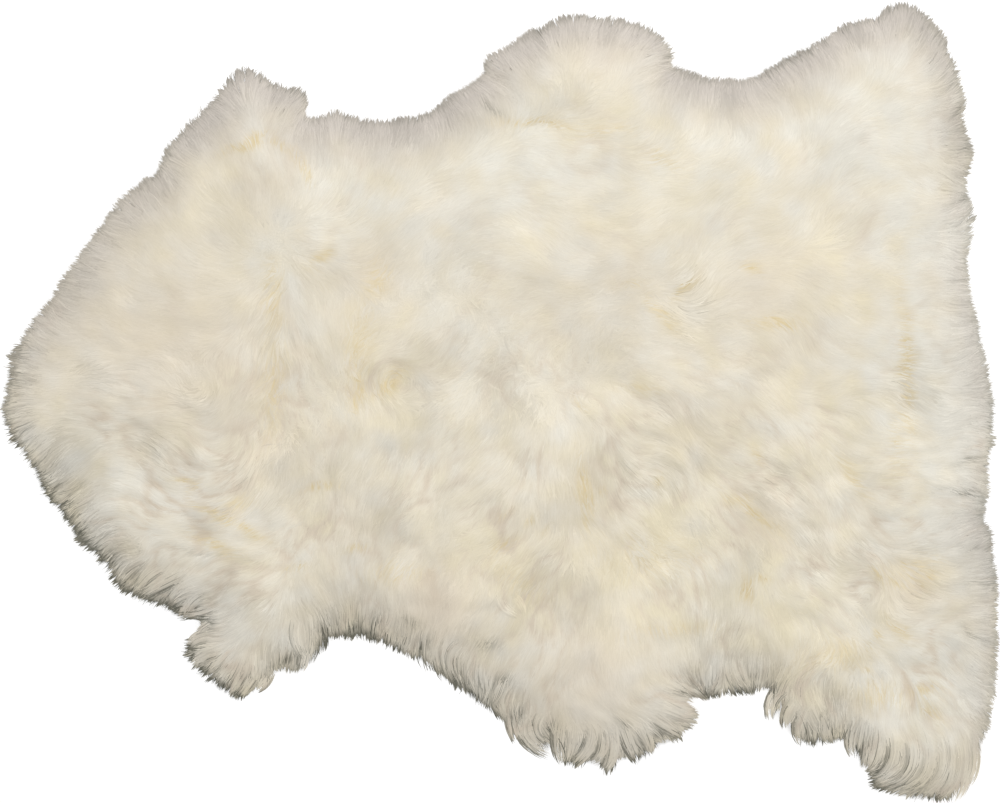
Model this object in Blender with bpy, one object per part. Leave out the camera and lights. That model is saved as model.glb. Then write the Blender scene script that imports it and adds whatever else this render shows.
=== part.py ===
"""Sheepskin rug: one whole pelt lying flat, wool side up.

The pelt is a single closed solid, hide and wool together. Its outline is that of the opened skin: the neck
points to -X, the rump to +X, and each side has a foreleg lobe, a flank lobe and a hind leg. The underside is
flat at Z = 0. The wool rises from a low rim to its full height some way in from the outline, and there the
brushed fleece swells into puffs and sinks into partings.

The outline is a smooth curve through the ends of named sections, each taken across the skin from its far
side (+Y) to its near side (-Y), and through the locks of the rump's edge. Lengths are in metres, and the
origin is at the middle of the underside's bounding box.
"""

import math
from typing import NamedTuple

import bmesh
import bpy
import numpy as np
from mathutils import Vector
from mathutils.geometry import delaunay_2d_cdt

OBJECT_NAME = "sheepskin_rug"
PELT_NAME = "pelt"

RIM_HEIGHT = 0.006       # tips of the wool along the outline
PILE_HEIGHT = 0.044      # top of the full fleece
SHOULDER_WIDTH = 0.070   # from the outline to where the fleece is at its full height
SHOULDER_ROUNDNESS = 0.85
OUTLINE_STEP = 0.0115    # greatest step between two corners of the outline
LATTICE_PITCH = 0.0160   # side of the triangles inside the outline
LATTICE_MARGIN = 0.0095  # from the outline to the nearest triangle corner inside it

WOOL_COLOUR = (0.752, 0.701, 0.597, 1.0)
WOOL_ROUGHNESS = 0.92


class Section(NamedTuple):
    """A cut across the skin, given by its two ends on the outline."""

    name: str
    far_x: float
    far_y: float
    near_x: float
    near_y: float


SECTIONS = (
    Section("neck tip", -0.520, 0.016, -0.525, -0.022),
    Section("neck", -0.505, 0.068, -0.497, -0.065),
    Section("collar", -0.475, 0.110, -0.468, -0.112),
    Section("throat", -0.439, 0.164, -0.427, -0.160),
    Section("shoulder", -0.402, 0.211, -0.400, -0.196),
    Section("shoulder point", -0.367, 0.240, -0.360, -0.212),
    Section("foreleg notch", -0.349, 0.273, -0.322, -0.230),
    Section("foreleg front", -0.311, 0.311, -0.330, -0.263),
    Section("foreleg tip", -0.275, 0.350, -0.279, -0.309),
    Section("foreleg back", -0.238, 0.334, -0.231, -0.286),
    Section("dew tuft", -0.209, 0.325, -0.199, -0.277),
    Section("armpit", -0.203, 0.300, -0.184, -0.250),
    Section("brisket", -0.174, 0.305, -0.138, -0.247),
    Section("girth", -0.138, 0.295, -0.101, -0.268),
    Section("ribs", -0.080, 0.303, -0.072, -0.281),
    Section("last rib", -0.048, 0.325, -0.024, -0.315),
    Section("flank front", -0.019, 0.344, 0.008, -0.343),
    Section("flank cheek", -0.012, 0.365, 0.022, -0.358),
    Section("flank rise", 0.022, 0.382, 0.055, -0.370),
    Section("flank crest", 0.050, 0.399, 0.084, -0.381),
    Section("flank tip", 0.084, 0.408, 0.112, -0.386),
    Section("flank fall", 0.134, 0.401, 0.160, -0.371),
    Section("flank heel", 0.167, 0.389, 0.192, -0.354),
    Section("flank back", 0.181, 0.368, 0.206, -0.333),
    Section("flank notch", 0.184, 0.352, 0.202, -0.315),
    Section("loin", 0.216, 0.341, 0.237, -0.309),
    Section("waist", 0.258, 0.339, 0.288, -0.307),
    Section("stifle", 0.296, 0.357, 0.284, -0.328),
    Section("thigh", 0.337, 0.379, 0.314, -0.358),
    Section("gaskin", 0.364, 0.398, 0.367, -0.361),
    Section("hock", 0.401, 0.407, 0.386, -0.389),
    Section("hind leg tip", 0.421, 0.420, 0.411, -0.415),
    Section("hind leg back", 0.447, 0.410, 0.453, -0.420),
    Section("hip", 0.469, 0.377, 0.484, -0.412),
)


class Lock(NamedTuple):
    """A lock or a dip of the wool along the rump's edge, between the two hips."""

    name: str
    x: float
    y: float


RUMP_EDGE = (
    Lock("far hip lock", 0.483, 0.347),
    Lock("far hip dip", 0.489, 0.305),
    Lock("dock lock", 0.496, 0.262),
    Lock("dock dip", 0.490, 0.218),
    Lock("upper tail lock", 0.499, 0.198),
    Lock("upper tail dip", 0.492, 0.152),
    Lock("tail", 0.508, 0.062),
    Lock("tail lock", 0.520, 0.000),
    Lock("lower tail", 0.518, -0.055),
    Lock("lower tail dip", 0.508, -0.118),
    Lock("near hip dip", 0.519, -0.148),
    Lock("near hip lock", 0.525, -0.230),
    Lock("near hip", 0.520, -0.305),
    Lock("near corner", 0.507, -0.372),
)


class Relief(NamedTuple):
    """A puff (lift above 0) or a parting (below 0) of the fleece: an oval turned anticlockwise from +X."""

    name: str
    x: float
    y: float
    half_length: float
    half_width: float
    turn_deg: float
    lift: float


RELIEFS = (
    Relief("neck puff", -0.420, 0.060, 0.060, 0.045, 55.0, 0.003),
    Relief("neck whorl", -0.385, -0.032, 0.055, 0.018, -38.0, -0.005),
    Relief("shoulder parting", -0.248, 0.030, 0.075, 0.018, 90.0, -0.006),
    Relief("far foreleg puff", -0.243, 0.250, 0.038, 0.030, 10.0, 0.005),
    Relief("withers hollow", -0.127, 0.138, 0.032, 0.026, 20.0, -0.006),
    Relief("withers puff", -0.186, 0.065, 0.045, 0.034, 70.0, 0.004),
    Relief("back hollow", -0.130, 0.016, 0.040, 0.022, -8.0, -0.007),
    Relief("back puff", -0.043, 0.060, 0.055, 0.040, 30.0, 0.005),
    Relief("girth ridge", -0.040, 0.215, 0.085, 0.035, 12.0, 0.004),
    Relief("near girth trough", -0.120, -0.150, 0.085, 0.020, -10.0, -0.005),
    Relief("near rib puff", -0.095, -0.060, 0.055, 0.045, 0.0, 0.004),
    Relief("far flank crease", 0.035, 0.293, 0.050, 0.015, 0.0, -0.005),
    Relief("far flank puff", 0.060, 0.325, 0.055, 0.028, 15.0, 0.004),
    Relief("saddle parting", 0.135, 0.008, 0.105, 0.020, -30.0, -0.006),
    Relief("spine hollow", 0.180, 0.108, 0.034, 0.020, -35.0, -0.007),
    Relief("saddle puff", 0.095, 0.125, 0.055, 0.050, 0.0, 0.004),
    Relief("belly parting", 0.103, -0.105, 0.065, 0.017, -78.0, -0.007),
    Relief("near flank puff", 0.158, -0.138, 0.050, 0.045, 0.0, 0.005),
    Relief("loin puff", 0.255, 0.228, 0.050, 0.055, 0.0, 0.005),
    Relief("loin streak", 0.282, -0.128, 0.062, 0.016, -38.0, -0.008),
    Relief("loin ridge", 0.330, -0.062, 0.080, 0.018, -42.0, 0.005),
    Relief("thigh hollow", 0.369, -0.093, 0.036, 0.018, -58.0, -0.006),
    Relief("rump parting", 0.430, 0.005, 0.120, 0.020, 94.0, -0.008),
    Relief("rump band", 0.466, -0.012, 0.095, 0.018, 94.0, 0.003),
    Relief("tail pit", 0.412, -0.196, 0.036, 0.028, -70.0, -0.009),
    Relief("near thigh puff", 0.338, -0.268, 0.070, 0.026, 8.0, 0.005),
    Relief("far thigh puff", 0.385, 0.300, 0.060, 0.050, 45.0, 0.005),
)


def remove_startup_objects() -> None:
    """Remove every object that the opened file brings with it."""
    for obj in list(bpy.data.objects):
        bpy.data.objects.remove(obj, do_unlink=True)


def smooth_closed_curve(knots: np.ndarray) -> np.ndarray:
    """Return evenly spaced points of the closed Catmull-Rom curve through all knots."""
    points = []
    count = len(knots)
    for index in range(count):
        before, start, end, after = knots[[index - 1, index, (index + 1) % count, (index + 2) % count]]
        steps = math.ceil(np.linalg.norm(end - start) / OUTLINE_STEP)
        for step in range(steps):
            share = step / steps
            slope = end - before
            bend = 2.0 * before - 5.0 * start + 4.0 * end - after
            twist = 3.0 * start - before - 3.0 * end + after
            points.append(0.5 * (2.0 * start + slope * share + bend * share**2 + twist * share**3))
    return np.array(points)


def pelt_outline() -> np.ndarray:
    """Return the outline's corners, anticlockwise and centred on its bounding box."""
    near_side = [(section.near_x, section.near_y) for section in SECTIONS]
    rump_edge = [(lock.x, lock.y) for lock in reversed(RUMP_EDGE)]
    far_side = [(section.far_x, section.far_y) for section in reversed(SECTIONS)]
    outline = smooth_closed_curve(np.array(near_side + rump_edge + far_side))
    return outline - 0.5 * (outline.min(axis=0) + outline.max(axis=0))


def distance_to_outline(points: np.ndarray, outline: np.ndarray) -> np.ndarray:
    """Return each point's distance in plan to the closed outline."""
    runs = np.roll(outline, -1, axis=0) - outline
    offsets = points[:, None, :] - outline[None, :, :]
    shares = np.sum(offsets * runs, axis=2) / np.sum(runs * runs, axis=1)
    feet = offsets - np.clip(shares, 0.0, 1.0)[:, :, None] * runs
    return np.sqrt(np.min(np.sum(feet * feet, axis=2), axis=1))


def lies_inside(points: np.ndarray, outline: np.ndarray) -> np.ndarray:
    """Return whether each point lies inside the closed outline, by counting the sides to its right."""
    start_x, start_y = outline.T
    end_x, end_y = np.roll(outline, -1, axis=0).T
    x = points[:, 0:1]
    y = points[:, 1:2]
    spans = (start_y > y) != (end_y > y)
    level = np.where(end_y == start_y, 1.0, end_y - start_y)
    crossing_x = start_x + (y - start_y) / level * (end_x - start_x)
    return np.sum(spans & (crossing_x > x), axis=1) % 2 == 1


def lattice_inside(outline: np.ndarray) -> np.ndarray:
    """Return the corners of a lattice of even triangles that lie well inside the outline."""
    reach_x, reach_y = outline.max(axis=0)
    row_gap = LATTICE_PITCH * math.sin(math.radians(60.0))
    rows = math.ceil(reach_y / row_gap)
    columns = math.ceil(reach_x / LATTICE_PITCH)
    row, column = np.meshgrid(np.arange(-rows, rows + 1), np.arange(-columns, columns + 1))
    x = (column + 0.5 * (row % 2)) * LATTICE_PITCH
    points = np.column_stack((x.ravel(), (row * row_gap).ravel()))
    points = points[lies_inside(points, outline)]
    return points[distance_to_outline(points, outline) > LATTICE_MARGIN]


def wool_height(x: float, y: float, inward: float) -> float:
    """Return the height of the wool at a point in plan that lies a given distance inside the outline."""
    rise = min(inward / SHOULDER_WIDTH, 1.0)
    fullness = math.sin(0.5 * math.pi * rise) ** SHOULDER_ROUNDNESS
    height = RIM_HEIGHT + (PILE_HEIGHT - RIM_HEIGHT) * fullness
    for relief in RELIEFS:
        turn = math.radians(relief.turn_deg)
        along = (x - relief.x) * math.cos(turn) + (y - relief.y) * math.sin(turn)
        beside = (y - relief.y) * math.cos(turn) - (x - relief.x) * math.sin(turn)
        reach = (along / relief.half_length) ** 2 + (beside / relief.half_width) ** 2
        height += relief.lift * fullness * math.exp(-reach)
    return height


def fill_with_triangles(bm: bmesh.types.BMesh, outline: np.ndarray) -> None:
    """Fill the outline with triangles on the lattice, flat at first, then raised to the wool's height."""
    plan = np.vstack((outline, lattice_inside(outline)))
    corners = [Vector(point) for point in plan]
    sides = [(index, (index + 1) % len(outline)) for index in range(len(outline))]
    inner_triangles = 1
    points, _, faces, _, _, _ = delaunay_2d_cdt(corners, sides, [], inner_triangles, 1e-6)
    inward = distance_to_outline(np.array(points), outline)
    verts = [bm.verts.new((x, y, wool_height(x, y, depth))) for (x, y), depth in zip(points, inward)]
    for face in faces:
        bm.faces.new([verts[index] for index in face])


def close_underside(bm: bmesh.types.BMesh) -> None:
    """Drop the rim straight down to Z = 0 and close it there with one flat face."""
    rim = [edge for edge in bm.edges if edge.is_boundary]
    dropped = bmesh.ops.extrude_edge_only(bm, edges=rim)["geom"]
    for vert in dropped:
        if isinstance(vert, bmesh.types.BMVert):
            vert.co.z = 0.0
    bottom = [edge for edge in dropped if isinstance(edge, bmesh.types.BMEdge) and edge.is_boundary]
    bmesh.ops.holes_fill(bm, edges=bottom, sides=0)
    bmesh.ops.recalc_face_normals(bm, faces=bm.faces)


def wool_material() -> bpy.types.Material:
    """Return the natural ivory wool."""
    material = bpy.data.materials.new("wool")
    material.use_nodes = True
    shader = material.node_tree.nodes["Principled BSDF"]
    shader.inputs["Base Color"].default_value = WOOL_COLOUR
    shader.inputs["Roughness"].default_value = WOOL_ROUGHNESS
    shader.inputs["Metallic"].default_value = 0.0
    return material


def build_pelt() -> bpy.types.Object:
    """Return the whole skin with its wool as one closed solid."""
    bm = bmesh.new()
    fill_with_triangles(bm, pelt_outline())
    close_underside(bm)
    mesh = bpy.data.meshes.new(PELT_NAME)
    bm.to_mesh(mesh)
    bm.free()
    mesh.shade_smooth()
    mesh.set_sharp_from_angle(angle=math.radians(60.0))
    mesh.materials.append(wool_material())
    return bpy.data.objects.new(PELT_NAME, mesh)


def main() -> None:
    """Build the rug in a collection of its own."""
    remove_startup_objects()
    rug = bpy.data.collections.new(OBJECT_NAME)
    bpy.context.scene.collection.children.link(rug)
    rug.objects.link(build_pelt())


if __name__ == "__main__":
    main()
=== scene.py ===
"""The looks of the sheepskin rug: tanned hide, dense underwool, and long brushed wool in locks.

The wool is groomed first as a field over the skin's plan: outward along every edge, and inside it as the
strokes of a brush laid it. Strands then grow along that field, gather into locks, and end at the skin's
outline. Every size is in metres but for the groomer's tables, which are in millimetres. Every place comes
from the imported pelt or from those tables.
"""

import logging
import math
from dataclasses import dataclass, field, fields, replace
from enum import Enum
from typing import NamedTuple, Self

import bmesh
import bpy
import numpy as np
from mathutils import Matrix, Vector
from mathutils.bvhtree import BVHTree
from mathutils.geometry import delaunay_2d_cdt
from mathutils.kdtree import KDTree


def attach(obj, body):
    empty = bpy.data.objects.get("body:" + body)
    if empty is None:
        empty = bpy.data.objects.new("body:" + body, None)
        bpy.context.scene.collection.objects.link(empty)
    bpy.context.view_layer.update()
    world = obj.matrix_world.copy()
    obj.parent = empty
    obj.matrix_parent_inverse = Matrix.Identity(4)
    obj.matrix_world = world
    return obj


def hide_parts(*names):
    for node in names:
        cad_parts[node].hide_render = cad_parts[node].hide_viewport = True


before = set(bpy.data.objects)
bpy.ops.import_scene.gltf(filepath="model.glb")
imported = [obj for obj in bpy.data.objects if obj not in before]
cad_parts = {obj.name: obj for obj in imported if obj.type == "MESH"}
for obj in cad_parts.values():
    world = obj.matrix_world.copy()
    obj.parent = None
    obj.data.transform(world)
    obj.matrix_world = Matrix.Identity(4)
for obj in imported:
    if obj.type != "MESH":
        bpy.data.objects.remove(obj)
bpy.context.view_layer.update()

Array = np.ndarray
Random = np.random.Generator

LOG = logging.getLogger("sheepskin")

PELT = "pelt"
ROOT = "root"

FULL_TURN = 2.0 * math.pi
TINY = 1e-12
# The most that painted shade darkens any wool.
DARKEST = 0.95
# The way in plan that looks away from the light; its length says how soon an edge counts as shaded.
LIGHT_LEE = np.array([-0.63, -1.26])
# The tables' fields that are lengths, given in millimetres.
LENGTHS = frozenset(("x", "y", "reach", "shift", "half_length", "half_width", "root", "bend", "tip", "width"))


def placed(kind: type, *rows: tuple) -> tuple:
    """Return the rows as entries of a kind of NamedTuple, their lengths turned from millimetres to metres."""
    scales = [1000 if label in LENGTHS else 1 for label in kind._fields]
    return tuple(kind(*map(np.divide, row, scales)) for row in rows)


class Stroke(NamedTuple):
    """One stroke of the brush: where it lies, the way it lays the wool, and how far and strongly it acts."""

    x: float
    y: float
    heading_deg: float
    reach: float
    strength: float


STROKES = placed(
    Stroke,
    # Neck, shoulders and forelegs.
    (-420, 90, 170, 80, 1), (-410, 0, 182, 70, 1), (-400, -110, 205, 70, 1), (-330, 110, 174, 70, 1),
    (-345, -55, 155, 55, 1), (-330, 200, 140, 50, 0.8), (-250, 260, 105, 50, 0.9), (-200, 250, 75, 40, 0.8),
    (-255, 80, 262, 45, 1), (-185, 90, 275, 45, 0.9), (-150, 180, 30, 50, 0.8), (-300, -60, 200, 50, 0.9),
    (-265, -100, 228, 40, 1), (-290, -165, 200, 45, 1), (-265, -230, 234, 45, 1.8),
    (-140, -70, 250, 50, 0.9), (-130, -140, 196, 40, 0.8), (-150, -210, 264, 45, 0.9),
    # Ribs, back and flanks.
    (-60, 230, 20, 70, 0.8), (-60, 60, 215, 45, 0.7), (80, 230, 4, 80, 0.9), (40, 140, 352, 60, 0.8),
    (-20, -60, 250, 50, 1), (50, -80, 270, 50, 1.1), (110, -80, 286, 50, 1.1), (160, -20, 318, 55, 1),
    (175, 85, 306, 35, 0.9), (205, 125, 42, 28, 0.8), (30, -230, 248, 60, 0.9), (90, -270, 268, 60, 1.2),
    (150, -240, 290, 55, 0.9),
    # Loin, haunches and rump, and the lay by the shoulder fleck.
    (260, 180, 8, 80, 0.9), (270, -60, 322, 60, 1.1), (340, -80, 316, 55, 1.1), (340, 60, 340, 65, 1),
    (370, 260, 40, 70, 0.8), (465, 100, 2, 45, 1.4), (470, -20, 354, 50, 1.4), (395, 20, 338, 40, 1),
    (230, -200, 285, 50, 0.8), (350, -200, 330, 45, 0.8), (440, -210, 350, 55, 1.1),
    (-192, 160, 325, 32, 1.3),
    # Edge of the far hind leg and thigh.
    (430, 395, 62, 20, 4), (458, 368, 50, 20, 5), (474, 332, 44, 20, 5), (483, 295, 38, 18, 5),
    (490, 262, 28, 16, 4), (483, 196, 36, 16, 5),
    # Edge of the throat and breast.
    (-447, -94, 216, 35, 5), (-440, -125, 207, 25, 5), (-400, -142, 194, 22, 5), (-430, -152, 215, 14, 8),
    (-412, -170, 240, 12, 10), (-392, -186, 242, 14, 10), (-365, -190, 208, 16, 8),
    (-368, -207, 200, 14, 10), (-320, -208, 193, 18, 8), (-330, -229, 192, 12, 14),
    # Edge of the near foreleg.
    (-312, -240, 184, 10, 14), (-318, -255, 190, 14, 12), (-325, -275, 212, 14, 14),
    (-302, -290, 228, 18, 10), (-278, -300, 252, 14, 14), (-257, -298, 236, 12, 14),
    (-245, -285, 264, 12, 10), (-212, -240, 273, 22, 7), (-215, -278, 262, 14, 12),
    (-197, -268, 238, 12, 12), (-190, -242, 267, 18, 6),
    # Edge of the girth, brisket and belly.
    (-150, -235, 268, 25, 5), (-95, -255, 254, 24, 7), (-70, -275, 268, 16, 8), (-48, -288, 284, 18, 8),
    (-45, -262, 232, 12, 8), (-25, -295, 278, 18, 7),
    # Edge of the near flank.
    (3, -302, 242, 14, 12), (-3, -332, 308, 12, 16), (18, -342, 292, 14, 16), (25, -318, 262, 14, 12),
    (44, -354, 322, 13, 28), (62, -342, 274, 12, 20), (65, -374, 282, 10, 18), (90, -322, 294, 20, 9),
    (96, -349, 272, 14, 18), (89, -371, 234, 13, 30), (116, -322, 294, 18, 9), (123, -356, 274, 13, 18),
    (113, -384, 256, 12, 20), (150, -340, 313, 20, 12), (185, -320, 328, 20, 12),
    # Edge of the groin, stifle and hock.
    (192, -307, 325, 9, 12), (205, -297, 308, 10, 10), (218, -280, 276, 18, 6), (231, -304, 238, 9, 12),
    (254, -303, 318, 14, 12), (277, -296, 262, 14, 10), (287, -315, 238, 12, 16), (312, -322, 291, 18, 12),
    (342, -325, 290, 22, 9), (385, -325, 285, 25, 7), (372, -355, 268, 16, 20), (388, -375, 266, 10, 24),
    # Edge of the near hind leg.
    (418, -338, 296, 22, 10), (433, -368, 284, 13, 24), (431, -389, 238, 10, 40), (416, -400, 203, 11, 40),
    (399, -403, 188, 10, 30), (463, -358, 280, 18, 12), (465, -386, 262, 13, 22), (450, -411, 226, 13, 34),
    (485, -372, 270, 20, 12), (480, -405, 252, 14, 20), (502, -362, 270, 18, 12), (494, -330, 306, 24, 8),
    (505, -270, 325, 30, 4),
)


class Whorl(NamedTuple):
    """A place where the wool turns round a point; a positive spin turns it anticlockwise."""

    x: float
    y: float
    reach: float
    spin: float


WHORLS = placed(
    Whorl,
    # Neck, throat, back and haunch.
    (-318, 12, 30, -0.9), (-380, -157, 12, -4), (-112, 20, 26, 1), (392, -190, 26, -1),
)


class Mark(NamedTuple):
    """An oval mark turned anticlockwise from +X, and how deep its colour is."""

    x: float
    y: float
    half_length: float
    half_width: float
    turn_deg: float
    depth: float


STAINS = placed(
    Mark,
    # Far foreleg, shoulders and withers.
    (-264, 272, 28, 4.5, 18, 1.4), (-229, 269, 20, 4, -22, 1.3), (-209, 248, 18, 4.5, -62, 1.2),
    (-187, 152, 14, 6, 50, 0.9), (-130, 128, 22, 14, 80, 0.6), (-238, 105, 45, 10, 92, 0.6),
    (-240, 10, 55, 13, 86, 0.55), (-150, 50, 50, 14, 84, 0.55),
    # Back, loin and rump.
    (-150, 8, 18, 6, 85, 0.95), (-118, 18, 24, 9, 48, 0.95), (38, 293, 45, 5, -3, 0.8),
    (110, 285, 30, 6, 6, 0.45), (172, 255, 30, 10, -25, 0.45), (195, 118, 18, 4, 40, 0.95),
    (172, 92, 24, 6, -48, 0.85), (137, 120, 12, 4, 20, 0.6), (262, 142, 14, 4, -20, 0.75),
    (290, 82, 26, 6, -4, 0.8), (428, 35, 75, 7, 94, 0.85), (418, -45, 40, 10, 84, 0.45),
    # Belly, near flank and loin.
    (88, -100, 45, 7, -84, 0.9), (20, -190, 40, 16, -30, 0.4), (5, -152, 14, 8, 15, 0.65),
    (160, -165, 55, 30, 0, 0.34), (268, -118, 34, 7, -38, 0.8), (370, -80, 24, 6, -55, 0.6),
    (258, -196, 16, 5, 90, 0.9), (272, -186, 14, 4, -8, 0.9), (180, -240, 50, 7, 4, 0.5),
    # Tail.
    (438, -180, 26, 18, 20, 0.5), (426, -172, 5, 2, 50, 1), (437, -166, 5, 2, -30, 1),
    (449, -173, 5, 2, 70, 1), (430, -186, 6, 2, -15, 1), (442, -191, 5, 2, 40, 1), (455, -184, 5, 2, 85, 1),
    # Belly, fan, loin and saddle.
    (165, -85, 11, 3, 75, 0.8), (31, -124, 9, 3, 30, 0.8), (48, -133, 9, 3, 50, 0.6),
    (3, -119, 10, 4, 40, 0.6), (106, -93, 9, 3, 0, 0.6), (251, -102, 13, 4, 5, 0.9),
    (269, -56, 10, 3, -60, 0.8), (85, -2, 15, 5, -45, 0.5), (150, 12, 22, 5, -10, 0.45),
    (398, -182, 10, 5, -50, 0.8),
    # Near haunch and hind leg.
    (345, -268, 45, 20, 10, 0.4), (418, -238, 18, 5, -42, 0.85), (446, -304, 18, 6, 5, 1),
    (452, -326, 20, 6, -45, 0.8), (395, -310, 30, 16, 0, 0.55),
    # Neck, near shoulder, ribs and near haunch.
    (-275, -108, 20, 10, 10, 0.5), (-302, -119, 22, 3, -16, 1.1), (-288, -126, 11, 4, 0, 1.3),
    (-260, -138, 16, 3, -33, 1.2), (-333, -83, 15, 3, -15, 0.8), (-322, -92, 9, 5, 60, 0.7),
    (-217, -175, 14, 3, 0, 0.8), (-189, -89, 18, 3, 6, 1.2), (-151, -153, 13, 3, 8, 1),
    (381, -281, 10, 3, 0, 1), (388, -259, 11, 3, 75, 0.8), (398, -249, 8, 3, -45, 0.8),
    (415, -190, 12, 4, -45, 0.7), (-110, -180, 36, 10, 5, 0.45), (-300, -150, 30, 8, -25, 0.6),
)


class Tint(NamedTuple):
    """A broad soft patch of another shade.

    It is cooler and whiter where its chill is above 0, creamier where it is below, and browner with its fawn.
    """

    x: float
    y: float
    reach: float
    chill: float
    fawn: float


TINTS = placed(
    Tint,
    # Neck, shoulders, back and rump.
    (-400, 40, 110, 0.2, 0.3), (-440, -45, 70, 0.3, -0.2), (-310, 60, 80, 0, 0.22),
    (-400, -120, 60, 0.9, 0), (-300, -120, 60, 0.6, 0.1), (-215, 130, 60, 0.8, -0.2),
    (-245, 225, 40, 0.2, 0.25), (-130, 140, 30, -0.5, 0.3), (-120, 20, 50, -1.3, 0),
    (20, 250, 90, 0.6, -0.2), (200, 220, 80, 0.4, -0.15), (-130, 200, 90, 0.7, -0.15),
    (-150, -125, 40, -0.5, 0.2), (190, -40, 40, -0.6, 0.2), (275, -125, 40, -0.6, 0.4),
    (440, -190, 45, -0.9, 0.4), (275, 128, 40, 0, 0.3), (460, 190, 60, 1.5, -0.2),
    (-70, 210, 50, 0.4, 0.15), (105, 375, 35, 0, 0.4),
    # Belly, legs and near side.
    (-235, -45, 40, 0.2, 0.25), (105, -125, 40, -0.5, 0.15), (-65, -215, 40, 0, 0.75),
    (-165, 125, 60, -0.1, 0.25), (370, 250, 70, 1.2, -0.1), (400, 335, 70, 0.9, -0.1),
    (120, 120, 70, 0, 0.2), (270, 50, 70, 0, 0.12), (40, -100, 60, 0.3, 0.1), (60, -185, 70, -0.5, 0),
    (200, -160, 80, -0.5, -0.2), (95, -290, 70, 0.4, 0.5), (330, -230, 60, -0.6, -0.1),
    (-150, -190, 70, 0.6, 0.1), (480, 20, 90, 1.8, -0.3), (485, -150, 60, 1.7, -0.3),
    (465, -300, 80, 1.2, -0.1), (-270, -250, 60, 0.7, 0),
)


# Painted shade: dark marks in the gaps, partings and creases between the locks, where shade falls.
GAPS = placed(
    Mark,
    # Hock and near hind leg.
    (406, -389, 12, 6, 40, 1), (416, -376, 10, 5, 60, 1), (368, -366, 12, 4, 70, 0.9),
    (384, -375, 10, 4, 85, 0.9), (437, -393, 14, 3, 60, 0.6), (418, -409, 16, 4, 20, 0.9),
    (442, -411, 12, 4, 35, 0.9), (459, -397, 12, 3, 65, 0.5),
    # Stifle and groin.
    (320, -345, 14, 4, -65, 0.8), (295, -325, 12, 5, 60, 0.8), (345, -340, 14, 3, -72, 0.5),
    (288, -305, 6, 5, 90, 1), (254, -304, 12, 5, -35, 0.9), (268, -290, 16, 3, 5, 0.6),
    (222, -306, 12, 3, 50, 0.6), (202, -294, 12, 4, -35, 0.4), (194, -311, 14, 5, -25, 0.9),
    # Near flank.
    (168, -352, 16, 4, 38, 0.9), (140, -366, 12, 4, -55, 0.8), (128, -345, 14, 4, -70, 0.6),
    (106, -372, 12, 5, 55, 1), (58, -348, 10, 6, -70, 1), (62, -362, 14, 3, -80, 1),
    (34, -368, 14, 4, -40, 1), (10, -338, 14, 4, -60, 0.9), (15, -328, 12, 3, 55, 0.8),
    (1, -302, 15, 7, 60, 1), (-6, -338, 10, 3, -50, 0.7),
    # Belly, brisket and girth.
    (-46, -297, 12, 5, -75, 0.9), (-38, -300, 10, 4, -80, 0.8), (-15, -254, 14, 4, -14, 0.5),
    (-82, -262, 16, 6, 60, 0.9), (-96, -234, 14, 4, -15, 0.6), (-148, -238, 10, 4, 85, 0.9),
    (-132, -232, 12, 4, 75, 0.6),
    # Near foreleg.
    (-187, -250, 14, 5, 80, 0.9), (-226, -273, 16, 4, 32, 0.8), (-203, -280, 14, 4, 45, 0.8),
    (-290, -306, 8, 3, 45, 1), (-272, -306, 12, 4, 50, 0.7), (-318, -288, 16, 4, -45, 0.6),
    # Throat and neck.
    (-316, -234, 12, 6, -30, 1), (-338, -226, 14, 3, -8, 0.9), (-352, -213, 8, 5, -30, 1),
    (-366, -195, 14, 3, 32, 0.8), (-384, -178, 10, 7, 40, 0.6), (-413, -168, 10, 8, 40, 0.8),
    (-432, -155, 8, 4, 50, 0.8), (-320, -157, 32, 3, -15, 0.3), (-384, -152, 12, 3, -25, 0.35),
    (-458, -110, 10, 5, 35, 0.8), (-447, -92, 12, 3, 38, 0.5),
    # Rump, crest and far elbow.
    (490, -96, 22, 3.5, -6, 0.8), (500, -152, 18, 3.5, 2, 0.6), (495, -60, 18, 3.5, 8, 0.5),
    (505, -190, 16, 3.5, -10, 0.5), (500, -245, 18, 3.5, -35, 0.5), (40, 385, 12, 3.5, 100, 0.4),
    (-10, 310, 14, 3.5, -40, 0.5),
    # Far hind leg and thigh.
    (436, 405, 12, 3, 60, 0.35), (448, 394, 12, 3, 62, 0.4), (471, 352, 14, 3, 45, 0.45),
    (478, 338, 12, 3, 42, 0.45), (482, 308, 12, 3, 50, 0.5), (485, 290, 12, 3, 45, 0.4),
    (489, 268, 12, 3, 38, 0.45), (493, 243, 12, 3, 28, 0.35), (489, 212, 14, 3, 30, 0.35),
    (492, 190, 14, 3, 45, 0.35),
)


# Painted light: places where the edge's painted shade is lifted and the wool painted lighter, against the
# shade that the light leaves there.
GLOWS = placed(
    Mark,
    # Groin, stifle and hind leg.
    (245, -283, 75, 36, 0, 1.15), (360, -305, 80, 35, 0, 0.6), (490, -365, 32, 55, 0, 0.9),
    (440, -366, 55, 28, 0, 0.6),
    # Throat, neck and near foreleg.
    (-424, -144, 75, 14, -47, 0.5), (-450, 30, 60, 120, 0, 0.2), (-160, -250, 40, 20, 0, 0.5),
    (-340, -190, 50, 20, -30, 0.4), (-500, -50, 60, 30, 300, 0.7),
)


class Comb(NamedTuple):
    """A patch whose hairs stand apart from each other; elsewhere the wool is a soft cloud."""

    x: float
    y: float
    reach: float
    amount: float


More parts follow.
